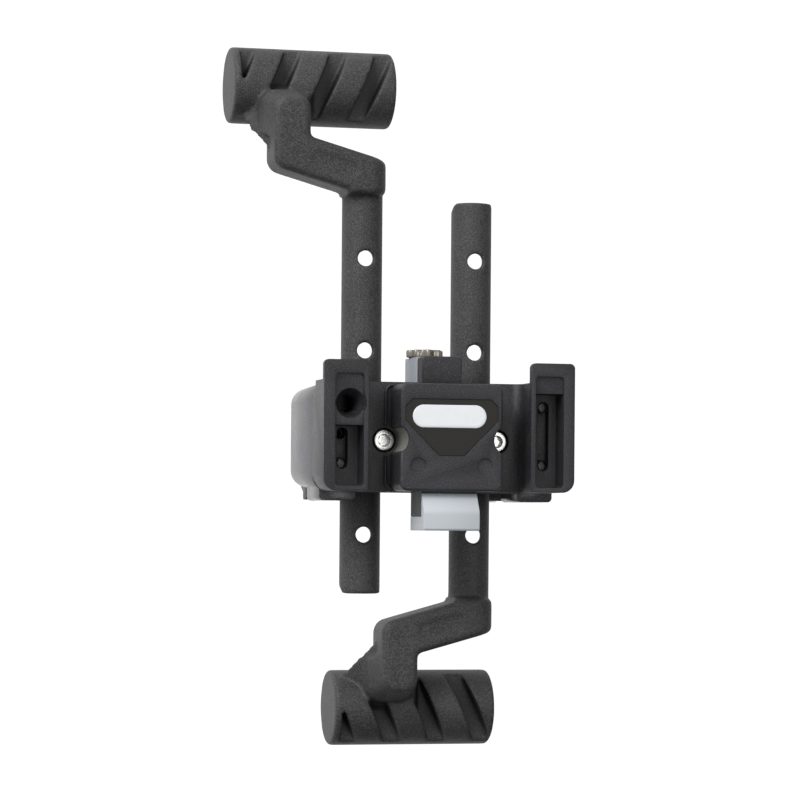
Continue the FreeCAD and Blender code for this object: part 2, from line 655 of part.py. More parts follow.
def make_spring(side):
    """A folded strip that presses the slide down from the cover's top wall."""
    body = piece("return_spring_left" if side < 0 else "return_spring_right")
    low = S["slide_head"] - S["spring_seat"]
    high = S["cover_top"] - S["cover_wall"]
    folds = 6
    step = (high - low) / folds
    swing = S["spring_width"] / 2 - S["spring_strip"]
    half = S["spring_strip"] * swing / step
    x = side * S["spring_reach"]
    out, back = [], []
    for fold in range(folds + 1):
        turn = x + (swing if fold % 2 else -swing)
        level = low + step * fold
        out.append((turn + half, level))
        back.append((turn - half, level))
    middle = (SLIDE_Y + SLIDE_BACK) / 2
    deep = S["spring_depth"] / 2
    grow(body, "XZ_Plane", middle - deep, middle + deep, lambda k: polygon(k, out + back[::-1]))
    return body


# Key lock: housing, barrel, scalloped cap and cam

def make_lock_housing():
    """The grey housing behind the turret, sunk in the rear block."""
    body = piece("lock_housing")
    half = S["lock_house_half"]
    grow(body, "XY_Plane", LOCK_FLOOR, LOCK_TOP, lambda k: rectangle(k, -half, half, LOCK_FRONT, LOCK_BACK))
    bore = S["lock_dia"] / 2 + S["lock_play"]
    carve(body, "XY_Plane", LOCK_FLOOR, LOCK_TOP, lambda k: circle(k, LOCK_X, LOCK_Y, bore))
    return body


def make_lock_barrel():
    """The turning barrel with a key slot in its head and a square end for the cam."""
    body = piece("lock_barrel")
    grow(body, "XY_Plane", LOCK_FLOOR, CAP_LOW, lambda k: circle(k, LOCK_X, LOCK_Y, S["lock_dia"] / 2))
    end = S["lock_dia"] / 5
    grow(body, "XY_Plane", CAM_LOW, LOCK_FLOOR + 0.5,
         lambda k: rectangle(k, LOCK_X - end, LOCK_X + end, LOCK_Y - end, LOCK_Y + end))
    key = S["lock_dia"] * 0.3
    carve(body, "XY_Plane", LOCK_TOP - 12, CAP_LOW,
          lambda k: rectangle(k, LOCK_X - 0.9, LOCK_X + 0.9, LOCK_Y - key, LOCK_Y + key))
    return body


def make_lock_cap():
    """A metal disc with eight scallops round its rim and a key slot through it."""
    body = piece("lock_cap")
    radius = S["lock_cap_dia"] / 2
    low, top = CAP_LOW, CAP_LOW + S["lock_cap_thick"]
    key = S["lock_dia"] * 0.3
    grow(body, "XY_Plane", low, top, lambda k: circle(k, LOCK_X, LOCK_Y, radius))
    count = 8
    for turn in range(count):
        angle = math.radians(360 * (turn + 0.5) / count)
        x = LOCK_X + (radius + 1.2) * math.cos(angle)
        y = LOCK_Y + (radius + 1.2) * math.sin(angle)
        carve(body, "XY_Plane", low, top, lambda k: circle(k, x, y, Size.of(2.3)))
    carve(body, "XY_Plane", low, top,
          lambda k: rectangle(k, LOCK_X - 0.9, LOCK_X + 0.9, LOCK_Y - key, LOCK_Y + key))
    return body


def make_lock_cam():
    """The tongue on the barrel's square end: it points sideways when unlocked."""
    body = piece("lock_cam")
    end = S["lock_dia"] / 5
    half = S["cam_width"] / 2
    tip = LOCK_X + S["cam_reach"] - half
    grow(body, "XY_Plane", CAM_LOW, CAM_TOP, lambda k: obround(k, (LOCK_X, LOCK_Y), (tip, LOCK_Y), half + 0.6))
    carve(body, "XY_Plane", CAM_LOW, CAM_TOP,
          lambda k: rectangle(k, LOCK_X - end, LOCK_X + end, LOCK_Y - end, LOCK_Y + end))
    return body


# Rear block: saddle for the bar, bores for the two arm shanks, seat of the lock

def make_rear_block():
    body = piece("rear_block")
    half, top = S["half_width"], S["body_top"]
    low = BODY_LOW - 0.4
    rear_top, rear_low = top - S["block_taper_top"], low + S["block_taper_low"]
    flank = [(SEAM_Y, low), (REAR_Y, rear_low), (REAR_Y, rear_top), (SEAM_Y, top)]
    grow(body, "YZ_Plane", -half, half, lambda k: polygon(k, flank))
    for side in (-1, 1):
        rim = edges_at(body, x=side * half)
        ends = edges_at(body, x=side * half, y=SEAM_Y) + edges_at(body, x=side * half, y=REAR_Y)
        soften(body, [name for name in rim if name not in ends], S["body_corner"])
    soften(body, edges_at(body, y=REAR_Y), 2.0)
    skirt = S["skirt_depth"]
    for side in (-1, 1):
        left, right = sorted((side * SKIRT_INNER, side * SKIRT_OUTER), key=lambda size: size.value)
        grow(body, "XZ_Plane", SEAM_Y, SEAM_Y + S["skirt_run"], lambda k: rectangle(k, left, right, -skirt, BODY_LOW + 6))
        for edge_x in (left, right):
            soften(body, edges_at(body, x=edge_x, z=-skirt), 1.8)
        left, right = sorted((side * CAP_INNER, side * CAP_OUTER), key=lambda size: size.value)
        grow(body, "XZ_Plane", REAR_Y - 4, BOSS_BACK, lambda k: rectangle(k, left, right, -BOSS_Z, BOSS_Z))
    carve(body, "YZ_Plane", -half, half, lambda k: circle(k, Size.of(0), Size.of(0), SADDLE_R))
    tall = skirt + 2
    stem = S["stem_half"]
    carve(body, "XZ_Plane", SLEEVE_BACK, REAR_Y, lambda k: rectangle(k, -stem, stem, -tall, tall))
    web = S["web_half"]
    carve(body, "XZ_Plane", LOCK_BACK + 2.5, REAR_Y, lambda k: rectangle(k, -web, web, -tall, tall))
    house = S["lock_house_half"] + S["label_play"]
    carve(body, "XY_Plane", LOCK_FLOOR, top,
          lambda k: rectangle(k, -house, house, LOCK_FRONT, LOCK_BACK + S["label_play"]))
    swing = S["cam_reach"] + 1
    carve(body, "XY_Plane", LUG_TOP - S["lug_thick"] - 1, LOCK_FLOOR,
          lambda k: rectangle(k, -S["lug_half"] - 4, LOCK_X + swing, LOCK_FRONT, LOCK_Y + S["cam_width"]))
    for side in (-1, 1):
        carve_shank_bore(body, side)
        carve_screw_ways(body, side)
    outer, inner = -SLOT_X - 4, -S["screw_reach"] - BORE_R - 0.6
    sight = [(outer, SEAM_Y), (inner, SEAM_Y), (inner, BORE_BACK), (5.5 - CAP_INNER, REAR_Y),
             (-CAP_INNER, REAR_Y), (-CAP_INNER - 4.5, SHANK_Y), (outer, SHANK_Y - 10)]
    middle = S["cone_height"]
    carve(body, "XY_Plane", middle - 5, middle + 5, lambda k: polygon(k, sight))
    return body


def carve_shank_bore(body, side):
    x = side * S["screw_reach"]
    tall = BOSS_Z + 2
    carve(body, "XY_Plane", -tall, tall, lambda k: channel(k, x, SHANK_Y, BORE_R, BORE_BACK))


def carve_screw_ways(body, side):
    """Bores for the main, wing and clamp screws, and slots for the clamp screws' nuts."""
    x = side * S["screw_reach"]
    bore = S["main_screw_dia"] / 2 + S["screw_play"]
    carve(body, "XZ_Plane", SEAM_Y, SHANK_Y, lambda k: circle(k, x, Size.of(0), bore))
    upper = S["wing_screw_left"] if side < 0 else S["wing_screw_right"]
    depth = SLOT_FLOOR + S["wing_screw_run"] + 1
    for height in (-S["wing_screw_low"], upper):
        carve(body, "XZ_Plane", SEAM_Y, depth,
              lambda k: circle(k, side * SLOT_X, height, S["wing_screw_dia"] / 2))
    x = side * CAP_X
    bore = S["cap_screw_dia"] / 2 + S["screw_play"]
    nut = S["cap_nut"] / 2 + 0.15
    deep = CAP_NUT_Y - S["cap_nut_thick"]
    for end in (-1, 1):
        z = end * CAP_SCREW_Z
        carve(body, "XZ_Plane", deep - 3, BOSS_BACK, lambda k: circle(k, x, z, bore))
        low, high = sorted((z - end * nut, end * (BOSS_Z + 1)), key=lambda size: size.value)
        carve(body, "XZ_Plane", deep - 0.15, CAP_NUT_Y, lambda k: rectangle(k, x - nut, x + nut, low, high))


# Accessory arms: shank, cranked link, post and handlebar stub in one piece

def make_arm(name, side, up):
    """An arm on the shank axis at side, with its stub upwards (up = 1) or downwards (up = -1)."""
    body = piece(name)
    axis = side * S["screw_reach"]
    middle = S["hole_pitch"] / 2
    first_hole = S["hole_pitch"] * 1.5
    neck = first_hole + S["neck_rise"]
    tail = -first_hole - S["shank_tail"]
    back = SHANK_Y + S["shank_leg"]

    def level(rise):
        return middle + up * rise

    add_link(body, axis, level, first_hole, neck)
    rise = S["stub_rise"]
    right = axis + (S["stub_right_upper"] if up > 0 else S["stub_right_lower"])
    add_stub(body, right, level(first_hole + rise), up)
    add_neck(body, axis, level, first_hole, first_hole + rise, right - S["stub_run"])
    low, high = sorted((level(tail), level(neck + 4)), key=lambda size: size.value)
    grow(body, "XY_Plane", low, high, lambda k: channel(k, axis, SHANK_Y, S["shank_radius"], back))
    low, high = sorted((level(tail), level(neck)), key=lambda size: size.value)
    carve(body, "XY_Plane", low, high, lambda k: channel(k, axis, SHANK_Y, HOLLOW_R, back + 1))
    for index in range(4):
        height = level(first_hole - index * S["hole_pitch"])
        carve(body, "XZ_Plane", SHANK_Y - S["shank_radius"], SHANK_Y,
              lambda k: circle(k, axis, height, S["hole_dia"] / 2))
    slope = [(back, level(tail)), (back, level(tail + 3)), (back - 5, level(tail))]
    width = S["shank_radius"] + 1
    carve(body, "YZ_Plane", axis - width, axis + width, lambda k: polygon(k, slope))
    add_oval(body, axis, level, neck)
    return body


def add_link(body, axis, level, first_hole, neck):
    """The cranked link and the post on its left, drawn from the front."""
    front = SHANK_Y - S["link_front"]
    side = S["shank_radius"] + S["link_proud"]
    shoulder = neck + S["link_height"]
    start = neck + S["link_start"]
    lean = tangent(S["link_lean"])
    post_foot = shoulder + (side + S["post_right"]) * lean
    outer_foot = start + (S["post_left"] - side) * lean
    top = first_hole + S["post_top"]
    outline = [(axis + side, neck), (axis + side, shoulder), (axis - S["post_right"], post_foot),
               (axis - S["post_right"], top), (axis - S["post_left"], top),
               (axis - S["post_left"], outer_foot), (axis - side, start), (axis - side, neck)]
    corners = [(across, level(rise)) for across, rise in outline]
    grow(body, "XZ_Plane", front, front + S["link_thick"], lambda k: polygon(k, corners))
    across, height = corners[0]
    upright = [name for name in edges_at(body, x=across, y=front)]
    soften(body, upright, S["link_plan"])
    for index, radius in ((2, "link_inner"), (3, "link_round"), (4, "link_round"), (5, "link_round")):
        across, height = corners[index]
        soften(body, edges_at(body, x=across, z=height), S[radius])
    soften(body, edges_at(body, y=front), S["link_soft"])


def add_stub(body, right, centre, up):
    """The round stub with slanted pockets in its front and back."""
    radius = S["stub_dia"] / 2
    left = right - S["stub_run"]
    grow(body, "YZ_Plane", left, right, lambda k: circle(k, STUB_Y, centre, radius))
    for end in (left, right):
        soften(body, edges_at(body, x=end, kind=Part.Circle), S["stub_edge"])
    reach = radius + 3
    shift = reach * tangent(S["groove_lean"])

    def pockets(sketch):
        for index in range(4):
            across = right - S["groove_first"] - index * S["groove_pitch"]
            top = (across + shift * up, centre + reach)
            foot = (across - shift * up, centre - reach)
            obround(sketch, top, foot, S["groove_width"] / 2)

    floor = S["groove_floor"]
    carve(body, "XZ_Plane", STUB_Y - radius - 0.5, STUB_Y - floor, pockets)
    carve(body, "XZ_Plane", STUB_Y + floor, STUB_Y + radius + 0.5, pockets)


def add_neck(body, axis, level, first_hole, centre, stub_left):
    """The neck from the back of the post to the stub, with a gusset out to the stub's left end."""
    flare = S["neck_flare"]
    left, right = axis - S["post_left"], axis - S["post_right"]
    high = first_hole + S["post_top"]
    near = SHANK_Y - S["link_front"] + S["link_thick"] - 7
    post = sketch_on(body, "XZ_Plane", near)
    polygon(post, [(left, level(high - S["neck_height"])), (right, level(high - S["neck_height"])), (right, level(high)), (left, level(high))])
    stub = sketch_on(body, "XZ_Plane", STUB_Y - S["stub_dia"] / 4)
    foot = centre - S["gusset_drop"]
    polygon(stub, [(stub_left + S["gusset_end"], level(foot)), (right + flare, level(foot)),
                   (right + flare, level(centre)), (left - flare, level(centre))])
    loft = body.newObject("PartDesign::AdditiveLoft", f"{body.Name}_neck")
    loft.Profile = post
    loft.Sections = [stub]
    finish(body, loft)


def add_oval(body, axis, level, neck):
    """The shallow plain oval in the link's face."""
    front = SHANK_Y - S["link_front"]
    lean = tangent(S["link_lean"])
    left, right = S["oval_left"], S["oval_right"]
    middle = neck + (S["link_start"] + S["link_height"]) / 2
    ends = [(axis - reach, level(middle + reach * lean)) for reach in (left, right)]
    carve(body, "XZ_Plane", front, front + S["oval_deep"], lambda k: obround(k, *ends, S["oval_radius"]))


# Clamp caps behind the bar, rubber liners

def make_clamp_cap(side):
    body = piece("clamp_cap_left" if side < 0 else "clamp_cap_right")
    left, right = sorted((side * CAP_INNER, side * CAP_OUTER), key=lambda size: size.value)
    zero = Size.of(0)
    ear = BOSS_Z
    shell = SADDLE_R + S["cap_wall"]
    grow(body, "YZ_Plane", left, right, lambda k: circle(k, zero, zero, shell))
    carve(body, "YZ_Plane", left, right, lambda k: rectangle(k, -shell - 1, CAP_FRONT, -shell - 1, shell + 1))
    grow(body, "YZ_Plane", left, right, lambda k: rectangle(k, CAP_FRONT, CAP_SEAT, -ear, ear))
    for end in (-1, 1):
        soften(body, edges_at(body, y=CAP_SEAT, z=end * ear), 1.5)
    carve(body, "YZ_Plane", left, right, lambda k: circle(k, zero, zero, SADDLE_R))
    x = (left + right) / 2
    bore = S["cap_screw_dia"] / 2 + S["screw_play"]
    for end in (-1, 1):
        z = end * CAP_SCREW_Z
        carve(body, "XZ_Plane", CAP_FRONT, CAP_SEAT, lambda k: circle(k, x, z, bore))
        carve(body, "XZ_Plane", CAP_SEAT, shell, lambda k: circle(k, x, z, S["cap_screw_dia"] * 0.875 + 0.4))
    return body


def make_pad(place, side):
    """A rubber liner: a strip of the ring between bar and saddle."""
    word = "left" if side < 0 else "right"
    body = piece(f"{place}_pad_{word}")
    left, right = sorted((side * CAP_INNER, side * CAP_OUTER), key=lambda size: size.value)
    zero = Size.of(0)
    grow(body, "YZ_Plane", left, right, lambda k: circle(k, zero, zero, SADDLE_R))
    carve(body, "YZ_Plane", left, right, lambda k: circle(k, zero, zero, BAR_R))
    far = SADDLE_R + 1
    if place == "block":
        edge = BOSS_BACK - 0.5
        carve(body, "YZ_Plane", left, right, lambda k: rectangle(k, edge, far, -far, far))
    else:
        carve(body, "YZ_Plane", left, right, lambda k: rectangle(k, -far, CAP_FRONT + 0.5, -far, far))
    return body


# Fasteners

def hexagon(sketch, x, z, across_flats):
    corner = across_flats / math.sqrt(3)
    polygon(sketch, [(x + corner * math.cos(math.radians(60 * turn)),
                      z + corner * math.sin(math.radians(60 * turn))) for turn in range(6)])


def make_socket_screw(name, x, z, seat, run, dia, head_dia, towards):
    """A socket head screw along Y: its head lies on the side of the seat that towards gives."""
    body = piece(name)
    head_end = seat + towards * dia
    tip = seat - towards * run
    low, high = sorted((seat, head_end), key=lambda size: size.value)
    grow(body, "XZ_Plane", low, high, lambda k: circle(k, x, z, head_dia / 2))
    low, high = sorted((seat, tip), key=lambda size: size.value)
    grow(body, "XZ_Plane", low, high, lambda k: circle(k, x, z, dia / 2))
    floor = head_end - towards * dia * 0.6
    low, high = sorted((head_end, floor), key=lambda size: size.value)
    carve(body, "XZ_Plane", low, high, lambda k: hexagon(k, x, z, dia * 0.8))
    return body


def make_square_nut(name, x, z, face, width, thick, bore):
    body = piece(name)
    half = width / 2
    grow(body, "XZ_Plane", face, face + thick, lambda k: rectangle(k, x - half, x + half, z - half, z + half))
    carve(body, "XZ_Plane", face, face + thick, lambda k: circle(k, x, z, bore / 2))
    return body


def make_main_fasteners(side):
    word = "left" if side < 0 else "right"
    x, zero = side * S["screw_reach"], Size.of(0)
    dia = S["main_screw_dia"]
    run = NUT_Y + S["main_nut_thick"] + 1 - MAIN_SEAT
    screw = make_socket_screw(f"main_screw_{word}", x, zero, MAIN_SEAT, run, dia, S["main_head_dia"], -1)
    nut = make_square_nut(f"main_nut_{word}", x, zero, NUT_Y, S["main_nut"], S["main_nut_thick"], dia)
    return [screw, nut]


def make_wing_screws():
    screws = []
    dia = S["wing_screw_dia"]
    places = [("left_low", -1, -S["wing_screw_low"]), ("right_low", 1, -S["wing_screw_low"]),
              ("right_high", 1, S["wing_screw_right"])]
    for word, side, z in places:
        x = side * SLOT_X
        screws.append(make_socket_screw(f"wing_screw_{word}", x, z, SLOT_FLOOR, S["wing_screw_run"],
                                        dia, S["slot_width"] - 0.3, -1))
    return screws


def make_cap_fasteners(side):
    fasteners = []
    dia = S["cap_screw_dia"]
    x = side * CAP_X
    run = CAP_SEAT - CAP_NUT_Y + S["cap_nut_thick"] + 1
    for end in (-1, 1):
        word = f"{'left' if side < 0 else 'right'}_{'low' if end < 0 else 'high'}"
        z = end * CAP_SCREW_Z
        fasteners.append(make_socket_screw(f"cap_screw_{word}", x, z, CAP_SEAT, run, dia, dia * 1.75, 1))
        face = CAP_NUT_Y - S["cap_nut_thick"]
        fasteners.append(make_square_nut(f"cap_nut_{word}", x, z, face, S["cap_nut"],
                                         S["cap_nut_thick"], dia))
    return fasteners


pieces = [make_holder_body(), make_centre_cover(), make_label_plate(), make_latch_slide(),
          make_release_button(), make_spring(-1), make_spring(1),
          make_lock_housing(), make_lock_barrel(), make_lock_cap(), make_lock_cam(),
          make_rear_block(), make_arm("arm_upper", -1, 1), make_arm("arm_lower", 1, -1)]
for side in (-1, 1):
    pieces.append(make_clamp_cap(side))
    pieces += [make_pad("block", side), make_pad("cap", side)]
    pieces += make_main_fasteners(side) + make_cap_fasteners(side)
pieces += make_wing_screws()

for item in doc.Objects:
    if "Invalid" in item.State or "Error" in item.State:
        raise ValueError(f"{item.Label} did not build: {item.State}")
for body in pieces:
    if body.Shape.isNull() or not body.Shape.isValid():
        raise ValueError(f"{body.Label} has no valid shape")

os.makedirs("parts", exist_ok=True)
for body in pieces:
    box = body.Shape.BoundBox
    print(f"{body.Label}: {len(body.Shape.Solids)} solid, {body.Shape.Volume:.0f} mm3,",
          f"x {box.XMin:.1f} {box.XMax:.1f} y {box.YMin:.1f} {box.YMax:.1f} z {box.ZMin:.1f} {box.ZMax:.1f}")
    body.Shape.exportStep(f"parts/{body.Label}.step")
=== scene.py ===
import json
import math

import bmesh
import bpy
from bpy.props import FloatProperty, FloatVectorProperty, IntProperty, PointerProperty
from bpy.types import Operator, Panel, PropertyGroup
from mathutils import Matrix, Vector


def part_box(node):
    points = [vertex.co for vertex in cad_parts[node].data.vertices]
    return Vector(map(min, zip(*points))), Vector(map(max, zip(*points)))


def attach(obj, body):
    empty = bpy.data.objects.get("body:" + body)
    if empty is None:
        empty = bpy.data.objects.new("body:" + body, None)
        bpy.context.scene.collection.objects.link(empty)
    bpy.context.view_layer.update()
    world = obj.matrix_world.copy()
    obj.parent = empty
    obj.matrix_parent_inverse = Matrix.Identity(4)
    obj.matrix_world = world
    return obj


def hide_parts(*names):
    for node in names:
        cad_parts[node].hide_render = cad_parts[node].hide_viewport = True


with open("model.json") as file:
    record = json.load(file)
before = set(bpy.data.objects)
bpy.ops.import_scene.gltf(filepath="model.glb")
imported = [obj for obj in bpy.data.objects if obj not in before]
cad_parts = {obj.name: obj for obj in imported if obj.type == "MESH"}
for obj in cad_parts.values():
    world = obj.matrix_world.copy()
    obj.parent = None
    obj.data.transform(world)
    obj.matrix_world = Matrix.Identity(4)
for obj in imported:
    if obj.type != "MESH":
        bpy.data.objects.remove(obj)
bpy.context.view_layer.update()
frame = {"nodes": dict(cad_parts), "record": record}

bl_info = {
    "name": "Handlebar Bag Mount",
    "version": (1, 0, 0),
    "blender": (4, 5, 0),
    "location": "View3D > Sidebar > Bag Mount",
    "description": "Dresses the bag mount: mouldings, arms, lock, button, badge and screws",
    "category": "Object",
}

NODES = frame["nodes"]
RECORD = frame["record"]
BODY_OF = {node: body for body, nodes in RECORD["behaviour"]["bodies"].items() for node in nodes}
MOUNT_AT = {mount["name"]: mount["pos_m"] for mount in RECORD["mounts"]}
MM = 0.001

# The angle in degrees past which two faces keep the crease between them
MOULD_CREASE = 38
TURNED_CREASE = 35
LIP_CREASE = 60
NOTCH_SHEEN_CREASE = 40
BADGE_CREASE = 50

# Each arm's stub among the record's mounts, and how far left of its middle the neck's post stands
STUB_OF = {"arm_upper": "upper_stub", "arm_lower": "lower_stub"}
POST_OFF = {"arm_upper": 13.0 * MM, "arm_lower": 10.5 * MM}
# Half the width in degrees of the two strips that stay whole between a stub's pockets
STRIP_HALF = 29
# Rings of the disc at a stub's left end in mm: distance from the end, and short of the radius
DISC_RINGS = ((0.05, 1.3), (0.4, 0.55), (1.0, 0.12), (1.5, 0.0), (3.0, 0.0))
# Sections of the neck's lobe in mm: Y, left and right of the post's middle, how far its round end
# and its left foot stay short of the stub's middle, and the round's radius
LOBE = ((-36.8, -7.3, 7.4, 8.3, 26.0, 4.0), (-32.0, -8.4, 8.0, 6.0, 24.5, 5.0),
        (-26.0, -10.8, 8.6, 3.6, 22.0, 6.0), (-19.0, -12.4, 9.4, 3.0, 20.0, 7.0),
        (-10.0, -13.0, 9.6, 3.0, 19.0, 7.0))
# How far its right foot stays short of the stub's middle, in mm
LOBE_FOOT = 26

# The badge's middle, X and Z in metres, and its rings in mm: inset from the rim, and rise
BADGE_AT = (-0.0010, 0.0094)
BADGE_RINGS = ((0.0, 0.0), (0.0, 0.18), (0.12, 0.30), (0.35, 0.36), (1.2, 0.40), (2.6, 0.40))

# Colours that have no setting of their own
GLASS_SPECK = (0.15, 0.15, 0.155)
NYLON_DUST = (0.115, 0.113, 0.112)
# Painted sheen: the notch sleeves' pale grey stands in for the polish on the cover's notch walls
NOTCH_SHEEN_GREY = (0.23, 0.225, 0.195)
LINER_BLACK = (0.022, 0.022, 0.022)
OXIDE_BLACK = (0.05, 0.05, 0.05)
SPRING_STEEL = (0.55, 0.55, 0.55)

# Scales of a metal's turning marks, which run long along an axis whose scale is small
MARKS_ALONG_Z = (1, 1, 0.08)
MARKS_ALONG_Y = (1, 0.1, 1)
MARKS_EVEN = (1, 1, 1)

# What the camera sees as the picture's white ground
CAMERA_WHITE = 1.05


# Settings that a user would change

def colour(name, value, text):
    return FloatVectorProperty(name=name, description=text, subtype="COLOR", size=3, min=0, max=1,
                               default=value)


def length(name, value, low, high, text, precision=5):
    return FloatProperty(name=name, description=text, default=value, min=low, max=high,
                         unit="LENGTH", precision=precision)


def brightness(name, value, text):
    return FloatProperty(name=name, description=text, default=value, min=0)


class MountFinish(PropertyGroup):
    moulding: colour("Moulding", (0.0150, 0.0150, 0.0176),
                     "Black glass-filled nylon of the housing")
    moulding_rough: FloatProperty(name="Moulding Roughness", default=0.46, min=0.05, max=1,
                                  description="Roughness of the moulded faces", subtype="FACTOR")
    printed: colour("Arm Nylon", (0.036, 0.0355, 0.0355), "Black printed nylon of the arms")
    layer: length("Layer Height", 0.00022, 0.00005, 0.001, "Height of the printed layers")
    grey: colour("Grey Plastic", (0.57, 0.605, 0.645), "Light grey plastic of the button")
    satin: colour("Lock Grey", (0.295, 0.315, 0.355), "Satin grey plastic of the lock housing")
    film: colour("Label Film", (0.019, 0.0182, 0.0168), "Matt film on the cover")
    badge: colour("Badge", (0.86, 0.88, 0.91), "White badge on the film")
    plate: colour("Nickel Plate", (0.34, 0.315, 0.27), "Warm nickel plate of the lock")
    zinc: colour("Zinc Plate", (0.74, 0.74, 0.72), "Bright zinc plate of the screws")


class MountShape(PropertyGroup):
    edge: length("Edge Radius", 0.0005, 0, 0.002, "Rounding of the mouldings' sharp edges")
    voxel: length("Arm Voxel", 0.00062, 0.0004, 0.002,
                  "Grid that the printed arms' skin is drawn on")
    softness: IntProperty(name="Arm Softness", description="Smoothing steps of the arms' skin",
                          default=10, min=0, max=40)
    badge_width: length("Badge Width", 0.0305, 0.01, 0.035, "Width of the blank badge", 4)
    badge_height: length("Badge Height", 0.0092, 0.003, 0.012, "Height of the blank badge", 4)
    knurls: IntProperty(name="Knurls", description="Ribs round a clamp screw's head",
                        default=36, min=0, max=90)
    scallops: IntProperty(name="Scallops", description="Hollows round the lock cap",
                          default=8, min=3, max=16)


class MountStage(PropertyGroup):
    azimuth: FloatProperty(name="Azimuth", description="Camera's angle round the mount",
                           subtype="ANGLE", default=math.radians(-13.74))
    distance: FloatProperty(name="Distance", description="Camera to the cover's plane",
                            default=1.25, min=0.3, unit="LENGTH")
    aim: FloatVectorProperty(name="Aim", description="Point on the camera's axis",
                             subtype="TRANSLATION", size=3, default=(-0.0168, -0.0685, -0.03625))
    lens: FloatProperty(name="Lens", description="Focal length in millimetres on a 36 mm sensor",
                        default=138.9)
    shift: FloatProperty(name="Shift", description="Camera's vertical shift", default=0.1625)
    roll: FloatProperty(name="Roll", description="Camera's turn about its axis",
                        subtype="ANGLE", default=math.radians(0.45))
    key: FloatProperty(name="Key Light", description="Power of the main softbox",
                       default=14, min=0, unit="POWER")
    panel: FloatProperty(name="Front Panel", default=1.9, min=0, unit="POWER",
                         description="Power of the small panel that the screws' heads mirror")
    backdrop: brightness("Backdrop", 1.15, "Brightness behind the mount")
    above: brightness("Above", 0.9, "Brightness of the room's ceiling")
    below: brightness("Below", 0.22, "Brightness of the room's floor")
    left: brightness("Left", 1.3, "How the room's left side is lit")
    right: brightness("Right", 0.6, "How the room's right side is lit")


def finish_settings():
    return bpy.context.scene.mount_finish


def shape_settings():
    return bpy.context.scene.mount_shape


# Node trees

class Wiring:
    """A node tree whose nodes are added and joined in few words."""

    def __init__(self, tree):
        self.tree = tree

    def feed(self, target, source):
        """Joins the target to the source socket, or gives it the source's value."""
        if isinstance(source, bpy.types.NodeSocket):
            self.tree.links.new(source, target)
        else:
            target.default_value = source

    def node(self, kind, joins=None, **values):
        """A node with its attributes set; joins says what feeds its sockets, by name or number."""
        made = self.tree.nodes.new(kind)
        for key, value in values.items():
            setattr(made, key, value)
        for socket, source in (joins or {}).items():
            self.feed(made.inputs[socket], source)
        return made

    def math(self, how, first, second=0.0):
        return self.node("ShaderNodeMath", {0: first, 1: second}, operation=how).outputs[0]

    def spread(self, value, low, high, start=0.0, end=1.0, **values):
        """Maps a value's range start to end onto low to high."""
        joins = {"Value": value, "From Min": start, "From Max": end, "To Min": low, "To Max": high}
        return self.node("ShaderNodeMapRange", joins, **values).outputs["Result"]


# Materials

class Shader(Wiring):
    """A finish: a material with one Principled shader and the patterns that vary it."""

    def __init__(self, name, base, roughness, metallic=0.0):
        material = bpy.data.materials.new(f"{name}_finish")
        material.use_nodes = True
        super().__init__(material.node_tree)
        self.tree.nodes.clear()
        output = self.node("ShaderNodeOutputMaterial")
        self.surface = self.node("ShaderNodeBsdfPrincipled")
        self.feed(output.inputs[0], self.surface.outputs[0])
        self.drive("Base Color", (*base, 1))
        self.drive("Roughness", roughness)
        self.drive("Metallic", metallic)
        self.place = self.node("ShaderNodeTexCoord").outputs["Object"]

    def drive(self, socket, source):
        """Feeds one of the surface's own sockets."""
        self.feed(self.surface.inputs[socket], source)

    def noise(self, scale, detail=2.0, roughness=0.5, vector=None):
        joins = {"Vector": vector or self.place, "Scale": scale, "Detail": detail,
                 "Roughness": roughness}
        return self.node("ShaderNodeTexNoise", joins).outputs["Fac"]

    def mix(self, factor, first, second, how="MIX"):
        made = self.node("ShaderNodeMix", data_type="RGBA", blend_type=how)
        for index, source in ((0, factor), (6, first), (7, second)):
            self.feed(made.inputs[index], (*source, 1) if isinstance(source, tuple) else source)
        return made.outputs[2]

    def toned(self, pattern, start, end, first, second):
        """Goes from the first colour to the second as the pattern goes from start to end."""
        return self.mix(self.spread(pattern, 0, 1, start, end), first, second)

    def gloss(self, pattern, low, high):
        """Varies the roughness with the pattern's middle range."""
        self.drive("Roughness", self.spread(pattern, low, high, 0.3, 0.7))

    def relief(self, height, depth, edge=0.0003):
        """Bump on top of softly rounded edges; depth and edge are in metres."""
        rounded = self.node("ShaderNodeBevel", {"Radius": edge}, samples=4).outputs[0]
        joins = {"Height": height, "Distance": depth, "Strength": 1.0, "Normal": rounded}
        self.drive("Normal", self.node("ShaderNodeBump", joins).outputs[0])


def scaled(base, factor):
    """The colour made lighter or darker by the factor."""
    return tuple(min(1, value * factor) for value in base)


def black_moulding():
    """Spark-eroded black nylon: a fine leathery grain with pale glass specks."""
    s = finish_settings()
    shader = Shader("black_moulding", s.moulding, s.moulding_rough)
    grain = shader.noise(scale=2200, detail=3, roughness=0.65)
    cloud = shader.noise(scale=45, detail=3, roughness=0.55)
    glass = shader.noise(scale=2000, detail=3, roughness=0.7)
    tone = shader.toned(cloud, 0.3, 0.7, tuple(s.moulding), scaled(s.moulding, 1.5))
    speck = shader.spread(glass, 0, 0.5, 0.53, 0.68)
    shader.drive("Base Color", shader.mix(speck, tone, GLASS_SPECK))
    shader.gloss(grain, s.moulding_rough - 0.07, s.moulding_rough + 0.09)
    shader.relief(grain, depth=0.00009)


def smooth_moulding():
    """The rear block's smoother and glossier plastic."""
    s = finish_settings()
    shader = Shader("smooth_moulding", s.moulding, 0.25)
    grain = shader.noise(scale=1700, detail=3, roughness=0.65)
    cloud = shader.noise(scale=60)
    base = scaled(s.moulding, 1.8)
    shader.drive("Base Color", shader.toned(grain, 0.4, 0.68, base, scaled(base, 3)))
    shader.gloss(cloud, 0.2, 0.3)
    shader.relief(grain, depth=0.00006)


